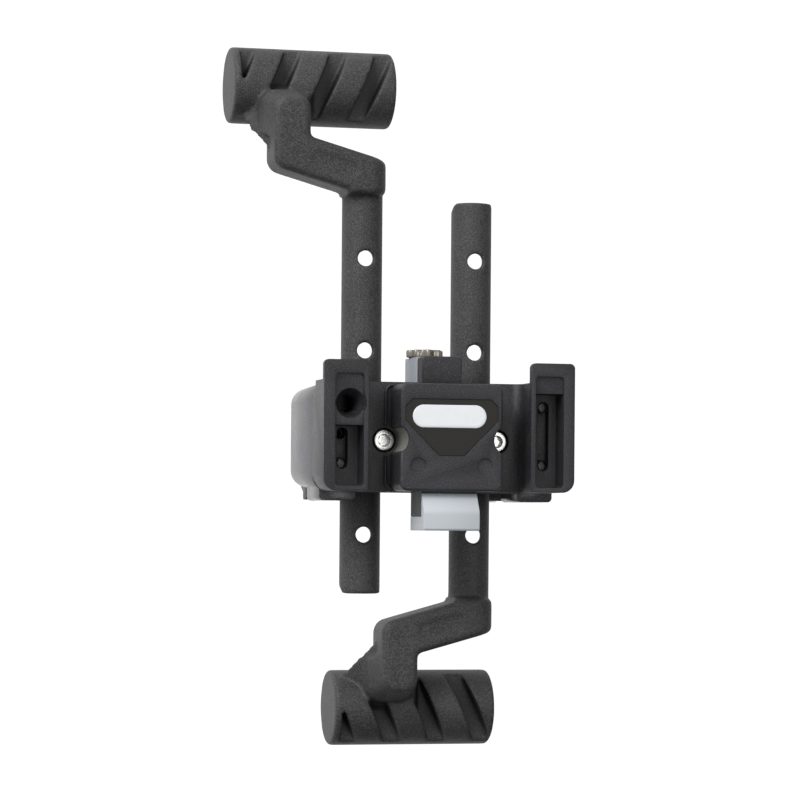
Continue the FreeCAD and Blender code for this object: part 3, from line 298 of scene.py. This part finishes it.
def printed_nylon():
    """Printed nylon: layers stacked along Y that show as contour lines, under a powdery grain
    with pale dust and dark pits, and painted shade that darkens its hollows and creases."""
    s = finish_settings()
    shader = Shader("printed_nylon", s.printed, 0.55)
    along = shader.node("ShaderNodeSeparateXYZ", {0: shader.place}).outputs["Y"]
    waver = shader.spread(shader.noise(scale=70), -0.15 * s.layer, 0.15 * s.layer)
    turns = shader.math("MULTIPLY", shader.math("ADD", along, waver), 2 * math.pi / s.layer)
    ridge = shader.math("SINE", turns)
    grain = shader.noise(scale=1800, detail=4, roughness=0.7)
    cloud = shader.noise(scale=38, detail=3, roughness=0.6)
    height = shader.math("ADD", shader.math("MULTIPLY", ridge, 0.16),
                         shader.math("MULTIPLY", grain, 0.9))
    tone = shader.toned(cloud, 0.32, 0.68, tuple(s.printed), scaled(s.printed, 1.6))
    dusty = shader.mix(shader.spread(grain, 0, 0.7, 0.50, 0.64), tone, NYLON_DUST)
    pitted = shader.mix(1.0, dusty, shader.spread(grain, 0.35, 1, 0.38, 0.52), "MULTIPLY")
    # Painted shade: ambient occlusion darkens the base colour in the pockets, hollows and creases
    shade_occlusion = shader.node("ShaderNodeAmbientOcclusion", {"Distance": 0.014}, samples=8)
    painted_shade = shader.spread(shade_occlusion.outputs["AO"], 0.12, 1.0, 0.25, 0.8)
    shader.drive("Base Color", shader.mix(1.0, pitted, painted_shade, "MULTIPLY"))
    shader.gloss(grain, 0.47, 0.64)
    shader.relief(height, depth=0.00010)


def grey_plastic(name, base):
    """Moulded grey plastic with a faint cloud in its colour."""
    shader = Shader(name, base, 0.42)
    grain = shader.noise(scale=2200)
    cloud = shader.noise(scale=60)
    shader.drive("Base Color", shader.toned(cloud, 0.3, 0.7, scaled(base, 0.95), base))
    shader.gloss(grain, 0.36, 0.5)
    shader.relief(grain, depth=0.00002)


def label_film():
    """Matt black film with a fine grain."""
    s = finish_settings()
    shader = Shader("label_film", s.film, 0.6)
    shader.drive("Specular IOR Level", 0.3)
    grain = shader.noise(scale=4200, detail=2, roughness=0.6)
    shader.drive("Base Color", shader.toned(grain, 0.35, 0.65, tuple(s.film), scaled(s.film, 1.5)))
    shader.gloss(grain, 0.52, 0.68)
    shader.relief(grain, depth=0.00002)


def badge_print():
    """Glossy white print with a slight orange peel."""
    shader = Shader("badge_print", finish_settings().badge, 0.28)
    cloud = shader.noise(scale=300)
    shader.gloss(cloud, 0.24, 0.34)
    shader.relief(cloud, depth=0.00001)


def metal(name, base, roughness, marks_scale):
    """Plated metal with fine turning marks."""
    shader = Shader(name, base, roughness, metallic=1.0)
    joins = {"Vector": shader.place, "Scale": marks_scale}
    marks = shader.noise(scale=1800, detail=3, roughness=0.6,
                         vector=shader.node("ShaderNodeMapping", joins).outputs[0])
    cloud = shader.noise(scale=160)
    shader.drive("Base Color", shader.toned(cloud, 0.3, 0.7, scaled(base, 0.82), base))
    shader.gloss(marks, roughness - 0.07, roughness + 0.1)
    shader.relief(marks, depth=0.000015, edge=0.0002)


def liner_rubber():
    """Matt rubber of the clamp's liners."""
    shader = Shader("liner_rubber", LINER_BLACK, 0.75)
    grain = shader.noise(scale=1800, detail=3, roughness=0.6)
    shader.gloss(grain, 0.66, 0.84)
    shader.relief(grain, depth=0.00004)


def make_finishes():
    s = finish_settings()
    black_moulding()
    smooth_moulding()
    printed_nylon()
    label_film()
    badge_print()
    liner_rubber()
    grey_plastic("grey_plastic", tuple(s.grey))
    grey_plastic("satin_grey", tuple(s.satin))
    # The notch sleeves' grey is a painted sheen
    grey_plastic("sleeve_grey", NOTCH_SHEEN_GREY)
    metal("nickel_plate", tuple(s.plate), 0.32, MARKS_ALONG_Z)
    metal("zinc_plate", tuple(s.zinc), 0.3, MARKS_ALONG_Y)
    metal("black_oxide", OXIDE_BLACK, 0.4, MARKS_ALONG_Y)
    metal("spring_wire", SPRING_STEEL, 0.3, MARKS_EVEN)


def made_finish(name):
    return bpy.data.materials[f"{name}_finish"]


# The finish of each node that has one of its own; the pieces made in a node's place take the same
FINISH_OF_NODE = {
    "label_plate": "label_film", "release_button": "grey_plastic", "lock_housing": "satin_grey",
    "lock_barrel": "nickel_plate", "lock_cap": "nickel_plate", "lock_cam": "nickel_plate",
    "arm_upper": "printed_nylon", "arm_lower": "printed_nylon", "rear_block": "smooth_moulding",
}
# For the other nodes: the first of these words that the node's name holds
FINISH_OF_WORD = {
    "pad": "liner_rubber", "spring": "spring_wire", "wing_screw": "black_oxide",
    "screw": "zinc_plate", "nut": "zinc_plate",
}


def finish_name(node):
    if node in FINISH_OF_NODE:
        return FINISH_OF_NODE[node]
    for word, finish in FINISH_OF_WORD.items():
        if word in node:
            return finish
    return "black_moulding"


# Mesh helpers

def add_piece(name, mesh, finish, body, *replaced):
    """A finished piece: its mesh lies in place, its object at the origin."""
    piece = loose_object(name, mesh)
    mesh.materials.clear()
    mesh.materials.append(made_finish(finish))
    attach(piece, body)
    if replaced:
        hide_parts(*replaced)


def loose_object(name, data):
    obj = bpy.data.objects.new(name, data)
    bpy.context.scene.collection.objects.link(obj)
    return obj


class Edited:
    """A mesh as a form to work on, which is written back at the end of the with block."""

    def __init__(self, mesh):
        self.mesh = mesh
        self.form = bmesh.new()
        self.form.from_mesh(mesh)

    def __enter__(self):
        return self.form

    def __exit__(self, *problem):
        self.form.to_mesh(self.mesh)
        self.form.free()


def merged_copy(node):
    """The node's solid as one closed mesh with whole flat faces."""
    mesh = NODES[node].data.copy()
    with Edited(mesh) as form:
        bmesh.ops.remove_doubles(form, verts=form.verts, dist=3e-6)
        bmesh.ops.dissolve_limit(form, angle_limit=math.radians(0.4), verts=form.verts[:],
                                 edges=form.edges[:])
    return mesh


def baked(obj, name):
    """The object's mesh with its modifiers applied; the object itself is removed."""
    bpy.context.view_layer.update()
    graph = bpy.context.evaluated_depsgraph_get()
    mesh = bpy.data.meshes.new_from_object(obj.evaluated_get(graph))
    mesh.name = name
    bpy.data.objects.remove(obj)
    return mesh


def shade(mesh, angle):
    """Smooth faces, with creases kept where they meet at more than the angle."""
    mesh.polygons.foreach_set("use_smooth", [True] * len(mesh.polygons))
    mesh.set_sharp_from_angle(angle=math.radians(angle))


def centre_of(node):
    low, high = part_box(node)
    return (low + high) / 2


def add_rings(form, rings):
    """Joins rings of points into a closed form with a cap at each end."""
    loops = [[form.verts.new(point) for point in ring] for ring in rings]
    count = len(loops[0])
    for low, high in zip(loops, loops[1:]):
        for index in range(count):
            after = (index + 1) % count
            form.faces.new((low[index], low[after], high[after], high[index]))
    form.faces.new(loops[0])
    form.faces.new(list(reversed(loops[-1])))


def ringed_mesh(name, pieces, crease):
    """A mesh of one or more closed forms, each given by its rings."""
    mesh = bpy.data.meshes.new(name)
    with Edited(mesh) as form:
        for rings in pieces:
            add_rings(form, rings)
        bmesh.ops.recalc_face_normals(form, faces=form.faces)
    shade(mesh, crease)
    return mesh


# Housing

def moulded_skin(node, width):
    """The node with its sharp edges rounded, as a moulding has them."""
    obj = loose_object(f"{node}_core", merged_copy(node))
    bevel = obj.modifiers.new("edges", "BEVEL")
    bevel.width = width
    bevel.segments = 2
    bevel.limit_method = "ANGLE"
    bevel.angle_limit = math.radians(MOULD_CREASE)
    bevel.use_clamp_overlap = True
    bevel.miter_outer = "MITER_ARC"
    skin = baked(obj, f"{node}_skin")
    shade(skin, MOULD_CREASE)
    add_piece(f"{node}_skin", skin, finish_name(node), BODY_OF[node], node)


def lip_rings(path, half=0.75 * MM, crown=1.43 * MM, sunk=0.3 * MM, steps=8):
    """A low round section at each point of a path on the plate, its foot sunk a little."""
    rings = []
    for index, point in enumerate(path):
        before, after = path[max(index - 1, 0)], path[min(index + 1, len(path) - 1)]
        across = (after - before).normalized().cross(Vector((0, -1, 0))).normalized()
        angles = [math.pi * step / steps for step in range(steps + 1)]
        rings.append([point + across * half * math.cos(angle)
                      + Vector((0, sunk - crown * math.sin(angle), 0)) for angle in angles])
    return rings


def lip_mesh():
    """The raised lip on the plate along both sides of the cover, broken by its notches."""
    low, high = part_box("centre_cover")
    reach, turn, notch = high.x + 2.0 * MM, 3.0 * MM, 6.2 * MM
    sweep = [math.radians(12 * step) for step in range(1, 8)]
    pieces = []
    for side in (-1, 1):
        for end, limit in ((1, high.z - 0.2 * MM), (-1, low.z + 0.9 * MM)):
            bend = limit - end * turn
            line = [(reach, end * notch), (reach, bend)]
            line += [(reach - turn + turn * math.cos(angle), bend + end * turn * math.sin(angle))
                     for angle in sweep]
            pieces.append(lip_rings([Vector((side * x, high.y, z)) for x, z in line]))
    return ringed_mesh("cover_lip", pieces, LIP_CREASE)


def notch_sheen_mesh():
    """Pale grey sleeves that line the cover's notches beside the main screws: a painted sheen in
    place of the polish on the notch walls.
    """
    low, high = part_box("centre_cover")
    outer, inner = 5.97, 5.82
    turns = [math.radians(6 * step) for step in range(-9, 10)]
    wall = [(outer, turn) for turn in turns] + [(inner, turn) for turn in reversed(turns)]
    pieces = []
    for side, node in ((-1, "main_screw_left"), (1, "main_screw_right")):
        axis = centre_of(node)
        pieces.append([[Vector((axis.x - side * reach * math.cos(turn) * MM, y,
                                axis.z + reach * math.sin(turn) * MM)) for reach, turn in wall]
                       for y in (low.y + 1.3 * MM, high.y - 0.2 * MM)])
    return ringed_mesh("notch_sleeves", pieces, NOTCH_SHEEN_CREASE)


def badge_mesh():
    """A plain raised capsule with a soft rim, standing on the label film."""
    s = shape_settings()
    half, radius = s.badge_width / 2 - s.badge_height / 2, s.badge_height / 2
    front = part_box("label_plate")[0].y
    middle_x, middle_z = BADGE_AT
    steps = 24
    rings = []
    for inset, rise in BADGE_RINGS:
        reach = radius - inset * MM
        ring = []
        for index in range(2 * steps):
            angle = math.pi * (index / steps - 0.5)
            side = half if index <= steps else -half
            ring.append((side + reach * math.cos(angle) + middle_x, front - rise * MM,
                         reach * math.sin(angle) + middle_z))
        rings.append(ring)
    return ringed_mesh("blank_badge", [rings], BADGE_CREASE)


# Arms

def add_stub_ends(form, node):
    """Closes the stub's pockets short of its outline and gives it a whole disc at its left end."""
    centre = Vector(MOUNT_AT[STUB_OF[node]])
    low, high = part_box(node)
    radius = high.y - centre.y - 0.02 * MM
    ends = (low.x + 1.2 * MM, high.x - 1.2 * MM)

    def spot(x, angle, reach=radius):
        return Vector((x, centre.y + reach * math.cos(angle), centre.z + reach * math.sin(angle)))

    for middle in (90, 270):
        angles = [math.radians(middle - STRIP_HALF + 2 * STRIP_HALF * step / 16)
                  for step in range(17)]
        add_rings(form, [[spot(x, angle) for angle in angles] for x in ends])
    turns = [math.radians(5 * step) for step in range(72)]
    add_rings(form, [[spot(low.x + x * MM, turn, radius - inset * MM) for turn in turns]
                     for x, inset in DISC_RINGS])


def add_neck_lobe(form, node):
    """The round-topped lobe in which the neck widens from the post back to the stub."""
    centre = Vector(MOUNT_AT[STUB_OF[node]])
    side = 1 if centre.z > 0 else -1
    post = centre.x - POST_OFF[node]
    rings = []
    for y, left, right, short, foot, turn in LOBE:
        corners = ((post + (right - turn) * MM, 0), (post + (left + turn) * MM, 90))
        ring = [Vector((post + right * MM, y * MM, centre.z - side * LOBE_FOOT * MM))]
        for x, start in corners:
            for step in range(7):
                angle = math.radians(start + 15 * step)
                rise = (turn * math.sin(angle) - turn - short) * MM
                ring.append(Vector((x + turn * math.cos(angle) * MM, y * MM,
                                    centre.z + side * rise)))
        ring.append(Vector((post + left * MM, y * MM, centre.z - side * foot * MM)))
        rings.append(ring)
    add_rings(form, rings)


def printed_skin(node):
    """The arm with every edge melted round, as printed and tumbled nylon has them."""
    s = shape_settings()
    mesh = merged_copy(node)
    with Edited(mesh) as form:
        add_stub_ends(form, node)
        add_neck_lobe(form, node)
    obj = loose_object(f"{node}_core", mesh)
    grid = obj.modifiers.new("grid", "REMESH")
    grid.mode = "VOXEL"
    grid.voxel_size = s.voxel
    soft = obj.modifiers.new("soft", "SMOOTH")
    soft.factor = 0.5
    soft.iterations = s.softness
    skin = baked(obj, f"{node}_skin")
    shade(skin, 180)
    add_piece(f"{node}_skin", skin, finish_name(node), BODY_OF[node], node)


# Geometry Nodes

class Flow(Wiring):
    """A Geometry Nodes tree with named inputs, which ends in real meshes with their material."""

    def __init__(self, name, inputs):
        super().__init__(bpy.data.node_groups.new(name, "GeometryNodeTree"))
        face = self.tree.interface
        face.new_socket("Geometry", in_out="INPUT", socket_type="NodeSocketGeometry")
        for label, kind, default in inputs:
            socket = face.new_socket(label, in_out="INPUT", socket_type=f"NodeSocket{kind}")
            if default is not None:
                socket.default_value = default
        face.new_socket("Geometry", in_out="OUTPUT", socket_type="NodeSocketGeometry")
        self.start = self.node("NodeGroupInput").outputs
        self.end = self.node("NodeGroupOutput").inputs

    def finish(self, geometry):
        whole = self.node("GeometryNodeRealizeInstances", {0: geometry}).outputs[0]
        joins = {"Geometry": whole, "Material": self.start["Finish"]}
        self.feed(self.end[0], self.node("GeometryNodeSetMaterial", joins).outputs[0])
        return self.tree


def turned_tree():
    """Turns the profile curve, given as radius and height, about Z, with ribs round it and six
    flats in its socket."""
    flow = Flow("Turned Part", [
        ("Segments", "Int", 72), ("Ribs", "Int", 0), ("Rib Depth", "Float", 0.0),
        ("Rib Low", "Float", 0.0), ("Rib High", "Float", 0.0), ("Socket Radius", "Float", 0.0),
        ("Finish", "Material", None)])
    g = flow.start
    calc = flow.math

    # A grid with one column for each step round the axis and one row for each profile point
    profile = g["Geometry"]
    rows = flow.node("GeometryNodeAttributeDomainSize", {0: profile},
                     component="CURVE").outputs["Point Count"]
    columns = calc("ADD", g["Segments"], 1.0)
    grid = flow.node("GeometryNodeMeshGrid", {"Vertices X": columns, "Vertices Y": rows})
    index = flow.node("GeometryNodeInputIndex").outputs[0]
    column = calc("FLOOR", calc("DIVIDE", calc("ADD", index, 0.5), rows))
    row = calc("SUBTRACT", index, calc("MULTIPLY", column, rows))
    turn = calc("DIVIDE", calc("MULTIPLY", column, 2 * math.pi), g["Segments"])
    place = flow.node("GeometryNodeInputPosition").outputs[0]
    spot = flow.node("GeometryNodeSampleIndex", {"Geometry": profile, "Value": place, "Index": row},
                     data_type="FLOAT_VECTOR", domain="POINT").outputs[0]
    parts = flow.node("ShaderNodeSeparateXYZ", {0: spot}).outputs
    radius, height = parts["X"], parts["Z"]

    # Ribs on the outside, between their two heights
    above = calc("GREATER_THAN", height, g["Rib Low"])
    below = calc("LESS_THAN", height, g["Rib High"])
    outside = calc("GREATER_THAN", radius, calc("MULTIPLY", g["Socket Radius"], 1.3))
    ribbed = calc("MULTIPLY", calc("MULTIPLY", above, below), outside)
    wave = calc("SUBTRACT", calc("COSINE", calc("MULTIPLY", turn, g["Ribs"])), 1.0)
    rib = calc("MULTIPLY", calc("MULTIPLY", wave, ribbed), calc("MULTIPLY", g["Rib Depth"], 0.5))

    # Six flats where the profile lies within the socket
    side = math.pi / 3
    fold = calc("SUBTRACT", calc("MODULO", turn, side), side / 2)
    flat = calc("DIVIDE", 1.0, calc("COSINE", fold))
    inside = calc("LESS_THAN", radius, calc("MULTIPLY", g["Socket Radius"], 1.01))
    factor = calc("ADD", calc("MULTIPLY", calc("SUBTRACT", flat, 1.0), inside), 1.0)

    reach = calc("MULTIPLY", calc("ADD", radius, rib), factor)
    where = flow.node("ShaderNodeCombineXYZ", {"X": calc("MULTIPLY", reach, calc("COSINE", turn)),
                                               "Y": calc("MULTIPLY", reach, calc("SINE", turn)),
                                               "Z": height}).outputs[0]
    moved = flow.node("GeometryNodeSetPosition", {"Geometry": grid.outputs["Mesh"],
                                                  "Position": where}).outputs[0]
    closed = flow.node("GeometryNodeMergeByDistance", {"Geometry": moved, "Distance": 1e-6})
    return flow.finish(closed.outputs[0])


def set_out_tree():
    """Sets a copy of the sample piece on every point, turned by the given angles."""
    flow = Flow("Set Out", [("Sample", "Object", None), ("Turn", "Vector", (0.0, 0.0, 0.0)),
                            ("Finish", "Material", None)])
    g = flow.start
    sample = flow.node("GeometryNodeObjectInfo", {"Object": g["Sample"]}).outputs["Geometry"]
    turn = flow.node("FunctionNodeEulerToRotation", {0: g["Turn"]}).outputs[0]
    joins = {"Points": g["Geometry"], "Instance": sample, "Rotation": turn}
    return flow.finish(flow.node("GeometryNodeInstanceOnPoints", joins).outputs[0])


def run_tree(obj, tree, finish, values):
    """Puts the tree on the object with its inputs set by the sockets' identifiers."""
    values = {"Finish": made_finish(finish), **values}
    made = obj.modifiers.new(tree.name, "NODES")
    made.node_group = tree
    for item in tree.interface.items_tree:
        if item.item_type == "SOCKET" and item.in_out == "INPUT" and item.name in values:
            made[item.identifier] = values[item.name]


def profile_object(name, points):
    """A poly curve through (radius, height) pairs."""
    curve = bpy.data.curves.new(name, "CURVE")
    curve.dimensions = "3D"
    spline = curve.splines.new("POLY")
    spline.points.add(len(points) - 1)
    for point, (radius, height) in zip(spline.points, points):
        point.co = (radius, 0, height, 1)
    return loose_object(name, curve)


def arc(centre, radius, start, end, steps=4):
    """Points of a small round between two angles in degrees, in the profile's plane."""
    angles = [math.radians(start + (end - start) * step / steps) for step in range(steps + 1)]
    return [(centre[0] + radius * math.cos(a), centre[1] + radius * math.sin(a)) for a in angles]


def turned_mesh(name, points, finish, values):
    """The profile turned about Z; values are the tree's inputs by name."""
    obj = profile_object(f"{name}_profile", points)
    tree = bpy.data.node_groups.get("Turned Part") or turned_tree()
    run_tree(obj, tree, finish, values)
    mesh = baked(obj, name)
    with Edited(mesh) as form:
        bmesh.ops.remove_doubles(form, verts=form.verts, dist=2e-6)
        bmesh.ops.dissolve_degenerate(form, edges=form.edges[:], dist=1e-6)
        bmesh.ops.recalc_face_normals(form, faces=form.faces)
    shade(mesh, TURNED_CREASE)
    return mesh


def set_out(name, sample, spots, turn, nodes):
    """One piece of several like fasteners in place of their nodes, each at its spot."""
    finish = finish_name(nodes[0])
    points = bpy.data.meshes.new(f"{name}_spots")
    points.from_pydata(spots, [], [])
    obj = loose_object(f"{name}_spots", points)
    holder = loose_object(f"{name}_sample", sample)
    tree = bpy.data.node_groups.get("Set Out") or set_out_tree()
    run_tree(obj, tree, finish, {"Sample": holder, "Turn": turn})
    mesh = baked(obj, name)
    bpy.data.objects.remove(holder)
    shade(mesh, TURNED_CREASE)
    add_piece(name, mesh, finish, BODY_OF[nodes[0]], *nodes)


# Fasteners and lock

def socket_head(dia, head, height, socket, run):
    """Profile of a socket screw whose seat is at height 0 and whose tip points to -Z."""
    rim, chamfer, tip, depth = 0.1 * dia, 0.08 * dia, 0.15 * dia, 0.6 * dia
    floor, shank = height - depth, dia / 2
    points = [(0, floor), (socket, floor), (socket, height - chamfer), (socket + chamfer, height)]
    points += arc((head - rim, height - rim), rim, 90, 0)
    points += [(head, chamfer), (head - chamfer, 0), (shank, 0), (shank, -run + tip),
               (shank - tip, -run), (0, -run)]
    return points


def screw_piece(name, nodes, towards, dia, knurls=0):
    """Socket screws in place of their nodes; their heads face -Y where towards is -1."""
    low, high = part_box(nodes[0])
    head, run = (high.x - low.x) / 2, high.y - low.y - dia
    height, socket = dia, dia * 0.44
    mesh = turned_mesh(f"{name}_sample", socket_head(dia, head, height, socket, run),
                       finish_name(nodes[0]),
                       {"Segments": 144, "Ribs": knurls, "Rib Depth": dia * 0.03,
                        "Rib Low": height * 0.12, "Rib High": height * 0.86,
                        "Socket Radius": socket})
    spots = []
    for node in nodes:
        low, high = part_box(node)
        centre = centre_of(node)
        seat = low.y + height if towards < 0 else high.y - height
        spots.append((centre.x, seat, centre.z))
    set_out(name, mesh, spots, (math.radians(-90 * towards), 0, 0), nodes)


def key_slot(mesh, spot):
    """The mesh with a key slot cut round the spot."""
    tool = bpy.data.meshes.new("key_cut")
    wide, long, deep = 1.8 * MM, 6 * MM, 8 * MM
    size = Matrix.Diagonal((wide, long, deep, 1))
    with Edited(tool) as form:
        bmesh.ops.create_cube(form, size=1, matrix=Matrix.Translation(spot) @ size)
    knife = loose_object("key_cut", tool)
    obj = loose_object("lock_cap_core", mesh)
    slot = obj.modifiers.new("key", "BOOLEAN")
    slot.object = knife
    slot.operation = "DIFFERENCE"
    slot.solver = "EXACT"
    done = baked(obj, "scalloped_lock_cap")
    bpy.data.objects.remove(knife)
    return done


def lock_cap_piece():
    """The scalloped disc with a domed rim and a key slot."""
    finish = finish_name("lock_cap")
    low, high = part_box("lock_cap")
    centre = centre_of("lock_cap")
    radius, rise = (high.x - low.x) / 2, high.z - low.z
    foot, dome, dish, slack = 0.5 * MM, 0.7 * MM, 0.35 * MM, 0.1 * MM
    points = [(0, 0), (radius - foot, 0)]
    points += arc((radius - foot, foot), foot, -90, 0)
    points += arc((radius - dome, rise - dome), dome, 0, 90)
    points += [(radius * 0.62, rise), (radius * 0.58, rise - dish), (0, rise - dish)]
    mesh = turned_mesh("lock_cap_form", points, finish,
                       {"Segments": 160, "Ribs": shape_settings().scallops,
                        "Rib Depth": 1.5 * MM, "Rib Low": -slack, "Rib High": rise + slack,
                        "Socket Radius": radius * 0.5})
    mesh.transform(Matrix.Translation((centre.x, centre.y, low.z)))
    done = key_slot(mesh, (centre.x, centre.y, high.z))
    shade(done, TURNED_CREASE)
    add_piece("scalloped_lock_cap", done, finish, BODY_OF["lock_cap"], "lock_cap")


# Stage

def make_surround(s):
    """A white backdrop behind the mount; the room is dimmer below, in front and on the right."""
    world = bpy.data.worlds.new("white_surround")
    world.use_nodes = True
    world.node_tree.nodes.clear()
    sky = Wiring(world.node_tree)

    def ramp(value, start, end, low, high):
        return sky.spread(value, low, high, start, end, interpolation_type="SMOOTHSTEP")

    def blend(factor, first, second):
        return sky.node("ShaderNodeMix", {0: factor, 2: first, 3: second},
                        data_type="FLOAT").outputs[0]

    direction = sky.node("ShaderNodeTexCoord").outputs["Generated"]
    way = sky.node("ShaderNodeSeparateXYZ", {0: direction}).outputs
    room = sky.math("MULTIPLY", ramp(way["Z"], -0.7, 0.9, s.below, s.above),
                    ramp(way["X"], -0.9, 0.7, s.left, s.right))
    lit = blend(ramp(way["Y"], 0.3, 0.8, 0.0, 1.0), room, s.backdrop)
    seen = sky.node("ShaderNodeLightPath").outputs["Is Camera Ray"]
    joins = {"Color": (1, 1, 1, 1), "Strength": blend(seen, lit, CAMERA_WHITE)}
    sky.node("ShaderNodeOutputWorld", {0: sky.node("ShaderNodeBackground", joins).outputs[0]})
    bpy.context.scene.world = world


def make_view():
    """Colours as they are, without a film look."""
    view = bpy.context.scene.view_settings
    view.view_transform = "Standard"
    view.look = "None"
    view.exposure = 0
    view.gamma = 1


def soft_light(name, where, side, power):
    """A square light that faces the mount."""
    data = bpy.data.lights.new(name, "AREA")
    data.shape = "RECTANGLE"
    data.size = data.size_y = side
    data.energy = power
    lamp = loose_object(name, data)
    lamp.location = where
    lamp.rotation_euler = (-Vector(where)).to_track_quat("-Z", "Y").to_euler()


def make_camera(s):
    data = bpy.data.cameras.new("photo_camera")
    data.sensor_width = 36
    data.lens = s.lens
    data.shift_y = s.shift
    data.clip_start, data.clip_end = 0.05, 30
    camera = loose_object("photo_camera", data)
    away = Vector((math.sin(s.azimuth), -math.cos(s.azimuth), 0))
    camera.location = Vector(s.aim) + away * s.distance
    level = Matrix.Rotation(s.azimuth, 4, "Z") @ Matrix.Rotation(math.radians(90), 4, "X")
    camera.rotation_euler = (level @ Matrix.Rotation(s.roll, 4, "Z")).to_euler()
    bpy.context.scene.camera = camera


# Operators

class MOUNT_OT_finishes(Operator):
    """Make the materials and give every carried-over node its own"""
    bl_idname = "mount.finishes"
    bl_label = "Finishes"

    def execute(self, context):
        make_finishes()
        for node, obj in NODES.items():
            obj.data.materials.clear()
            obj.data.materials.append(made_finish(finish_name(node)))
        return {"FINISHED"}


class MOUNT_OT_housing(Operator):
    """Round the mouldings' edges, and add the plate's lip and the pale sleeves of painted sheen in
    the cover's notches
    """
    bl_idname = "mount.housing"
    bl_label = "Housing"

    def execute(self, context):
        for node in ("holder_body", "centre_cover", "clamp_cap_left", "clamp_cap_right",
                     "latch_slide", "rear_block", "release_button", "lock_housing"):
            moulded_skin(node, shape_settings().edge)
        add_piece("cover_lip", lip_mesh(), "black_moulding", BODY_OF["holder_body"])
        # Pale sleeves that paint the sheen of the polished notch walls
        add_piece("notch_sleeves", notch_sheen_mesh(), "sleeve_grey", BODY_OF["centre_cover"])
        return {"FINISHED"}


class MOUNT_OT_arms(Operator):
    """Give the two accessory arms their soft printed skin"""
    bl_idname = "mount.arms"
    bl_label = "Accessory Arms"

    def execute(self, context):
        for node in STUB_OF:
            printed_skin(node)
        return {"FINISHED"}


class MOUNT_OT_fasteners(Operator):
    """Turn the socket screws; the clamp's have knurled heads"""
    bl_idname = "mount.fasteners"
    bl_label = "Screws"

    def execute(self, context):
        wings = ("left_low", "right_low", "right_high")
        clamps = ("left_low", "left_high", "right_low", "right_high")
        screw_piece("main_screws", ["main_screw_left", "main_screw_right"], -1, 5 * MM)
        screw_piece("wing_screws", [f"wing_screw_{end}" for end in wings], -1, 4 * MM)
        screw_piece("clamp_screws", [f"cap_screw_{end}" for end in clamps], 1, 4 * MM,
                    shape_settings().knurls)
        return {"FINISHED"}


class MOUNT_OT_lock(Operator):
    """Make the lock's scalloped cap"""
    bl_idname = "mount.lock"
    bl_label = "Lock Cap"

    def execute(self, context):
        lock_cap_piece()
        return {"FINISHED"}


class MOUNT_OT_badge(Operator):
    """Put the blank badge on the cover's film"""
    bl_idname = "mount.badge"
    bl_label = "Badge"

    def execute(self, context):
        add_piece("blank_badge", badge_mesh(), "badge_print", BODY_OF["label_plate"])
        return {"FINISHED"}


class MOUNT_OT_stage(Operator):
    """Set up surroundings, lights and camera"""
    bl_idname = "mount.stage"
    bl_label = "Stage"

    def execute(self, context):
        s = context.scene.mount_stage
        make_surround(s)
        make_view()
        soft_light("key_softbox", where=(-0.95, -0.95, 0.95), side=0.7, power=s.key)
        soft_light("front_panel", where=(0.31, -1.3, 0.03), side=0.42, power=s.panel)
        make_camera(s)
        return {"FINISHED"}


GROUPS = {"mount_finish": MountFinish, "mount_shape": MountShape, "mount_stage": MountStage}
PIECE_STEPS = (MOUNT_OT_housing, MOUNT_OT_arms, MOUNT_OT_fasteners, MOUNT_OT_lock, MOUNT_OT_badge)
BOXES = (("Finishes", "mount_finish", (MOUNT_OT_finishes,)),
         ("Pieces", "mount_shape", PIECE_STEPS),
         ("Stage", "mount_stage", (MOUNT_OT_stage,)))


class MOUNT_PT_panel(Panel):
    bl_label = "Bag Mount"
    bl_space_type = "VIEW_3D"
    bl_region_type = "UI"
    bl_category = "Bag Mount"

    def draw(self, context):
        for title, settings, steps in BOXES:
            box = self.layout.box()
            box.label(text=title)
            group = getattr(context.scene, settings)
            for key in group.__annotations__:
                box.prop(group, key)
            for step in steps:
                box.operator(step.bl_idname)


CLASSES = (*GROUPS.values(), MOUNT_OT_finishes, *PIECE_STEPS, MOUNT_OT_stage, MOUNT_PT_panel)


def register():
    for kind in CLASSES:
        bpy.utils.register_class(kind)
    for name, kind in GROUPS.items():
        setattr(bpy.types.Scene, name, PointerProperty(type=kind))


def unregister():
    for name in GROUPS:
        delattr(bpy.types.Scene, name)
    for kind in reversed(CLASSES):
        bpy.utils.unregister_class(kind)


def main():
    register()
    bpy.ops.mount.finishes()
    bpy.ops.mount.housing()
    bpy.ops.mount.arms()
    bpy.ops.mount.fasteners()
    bpy.ops.mount.lock()
    bpy.ops.mount.badge()
    bpy.ops.mount.stage()


if __name__ == "__main__":
    main()
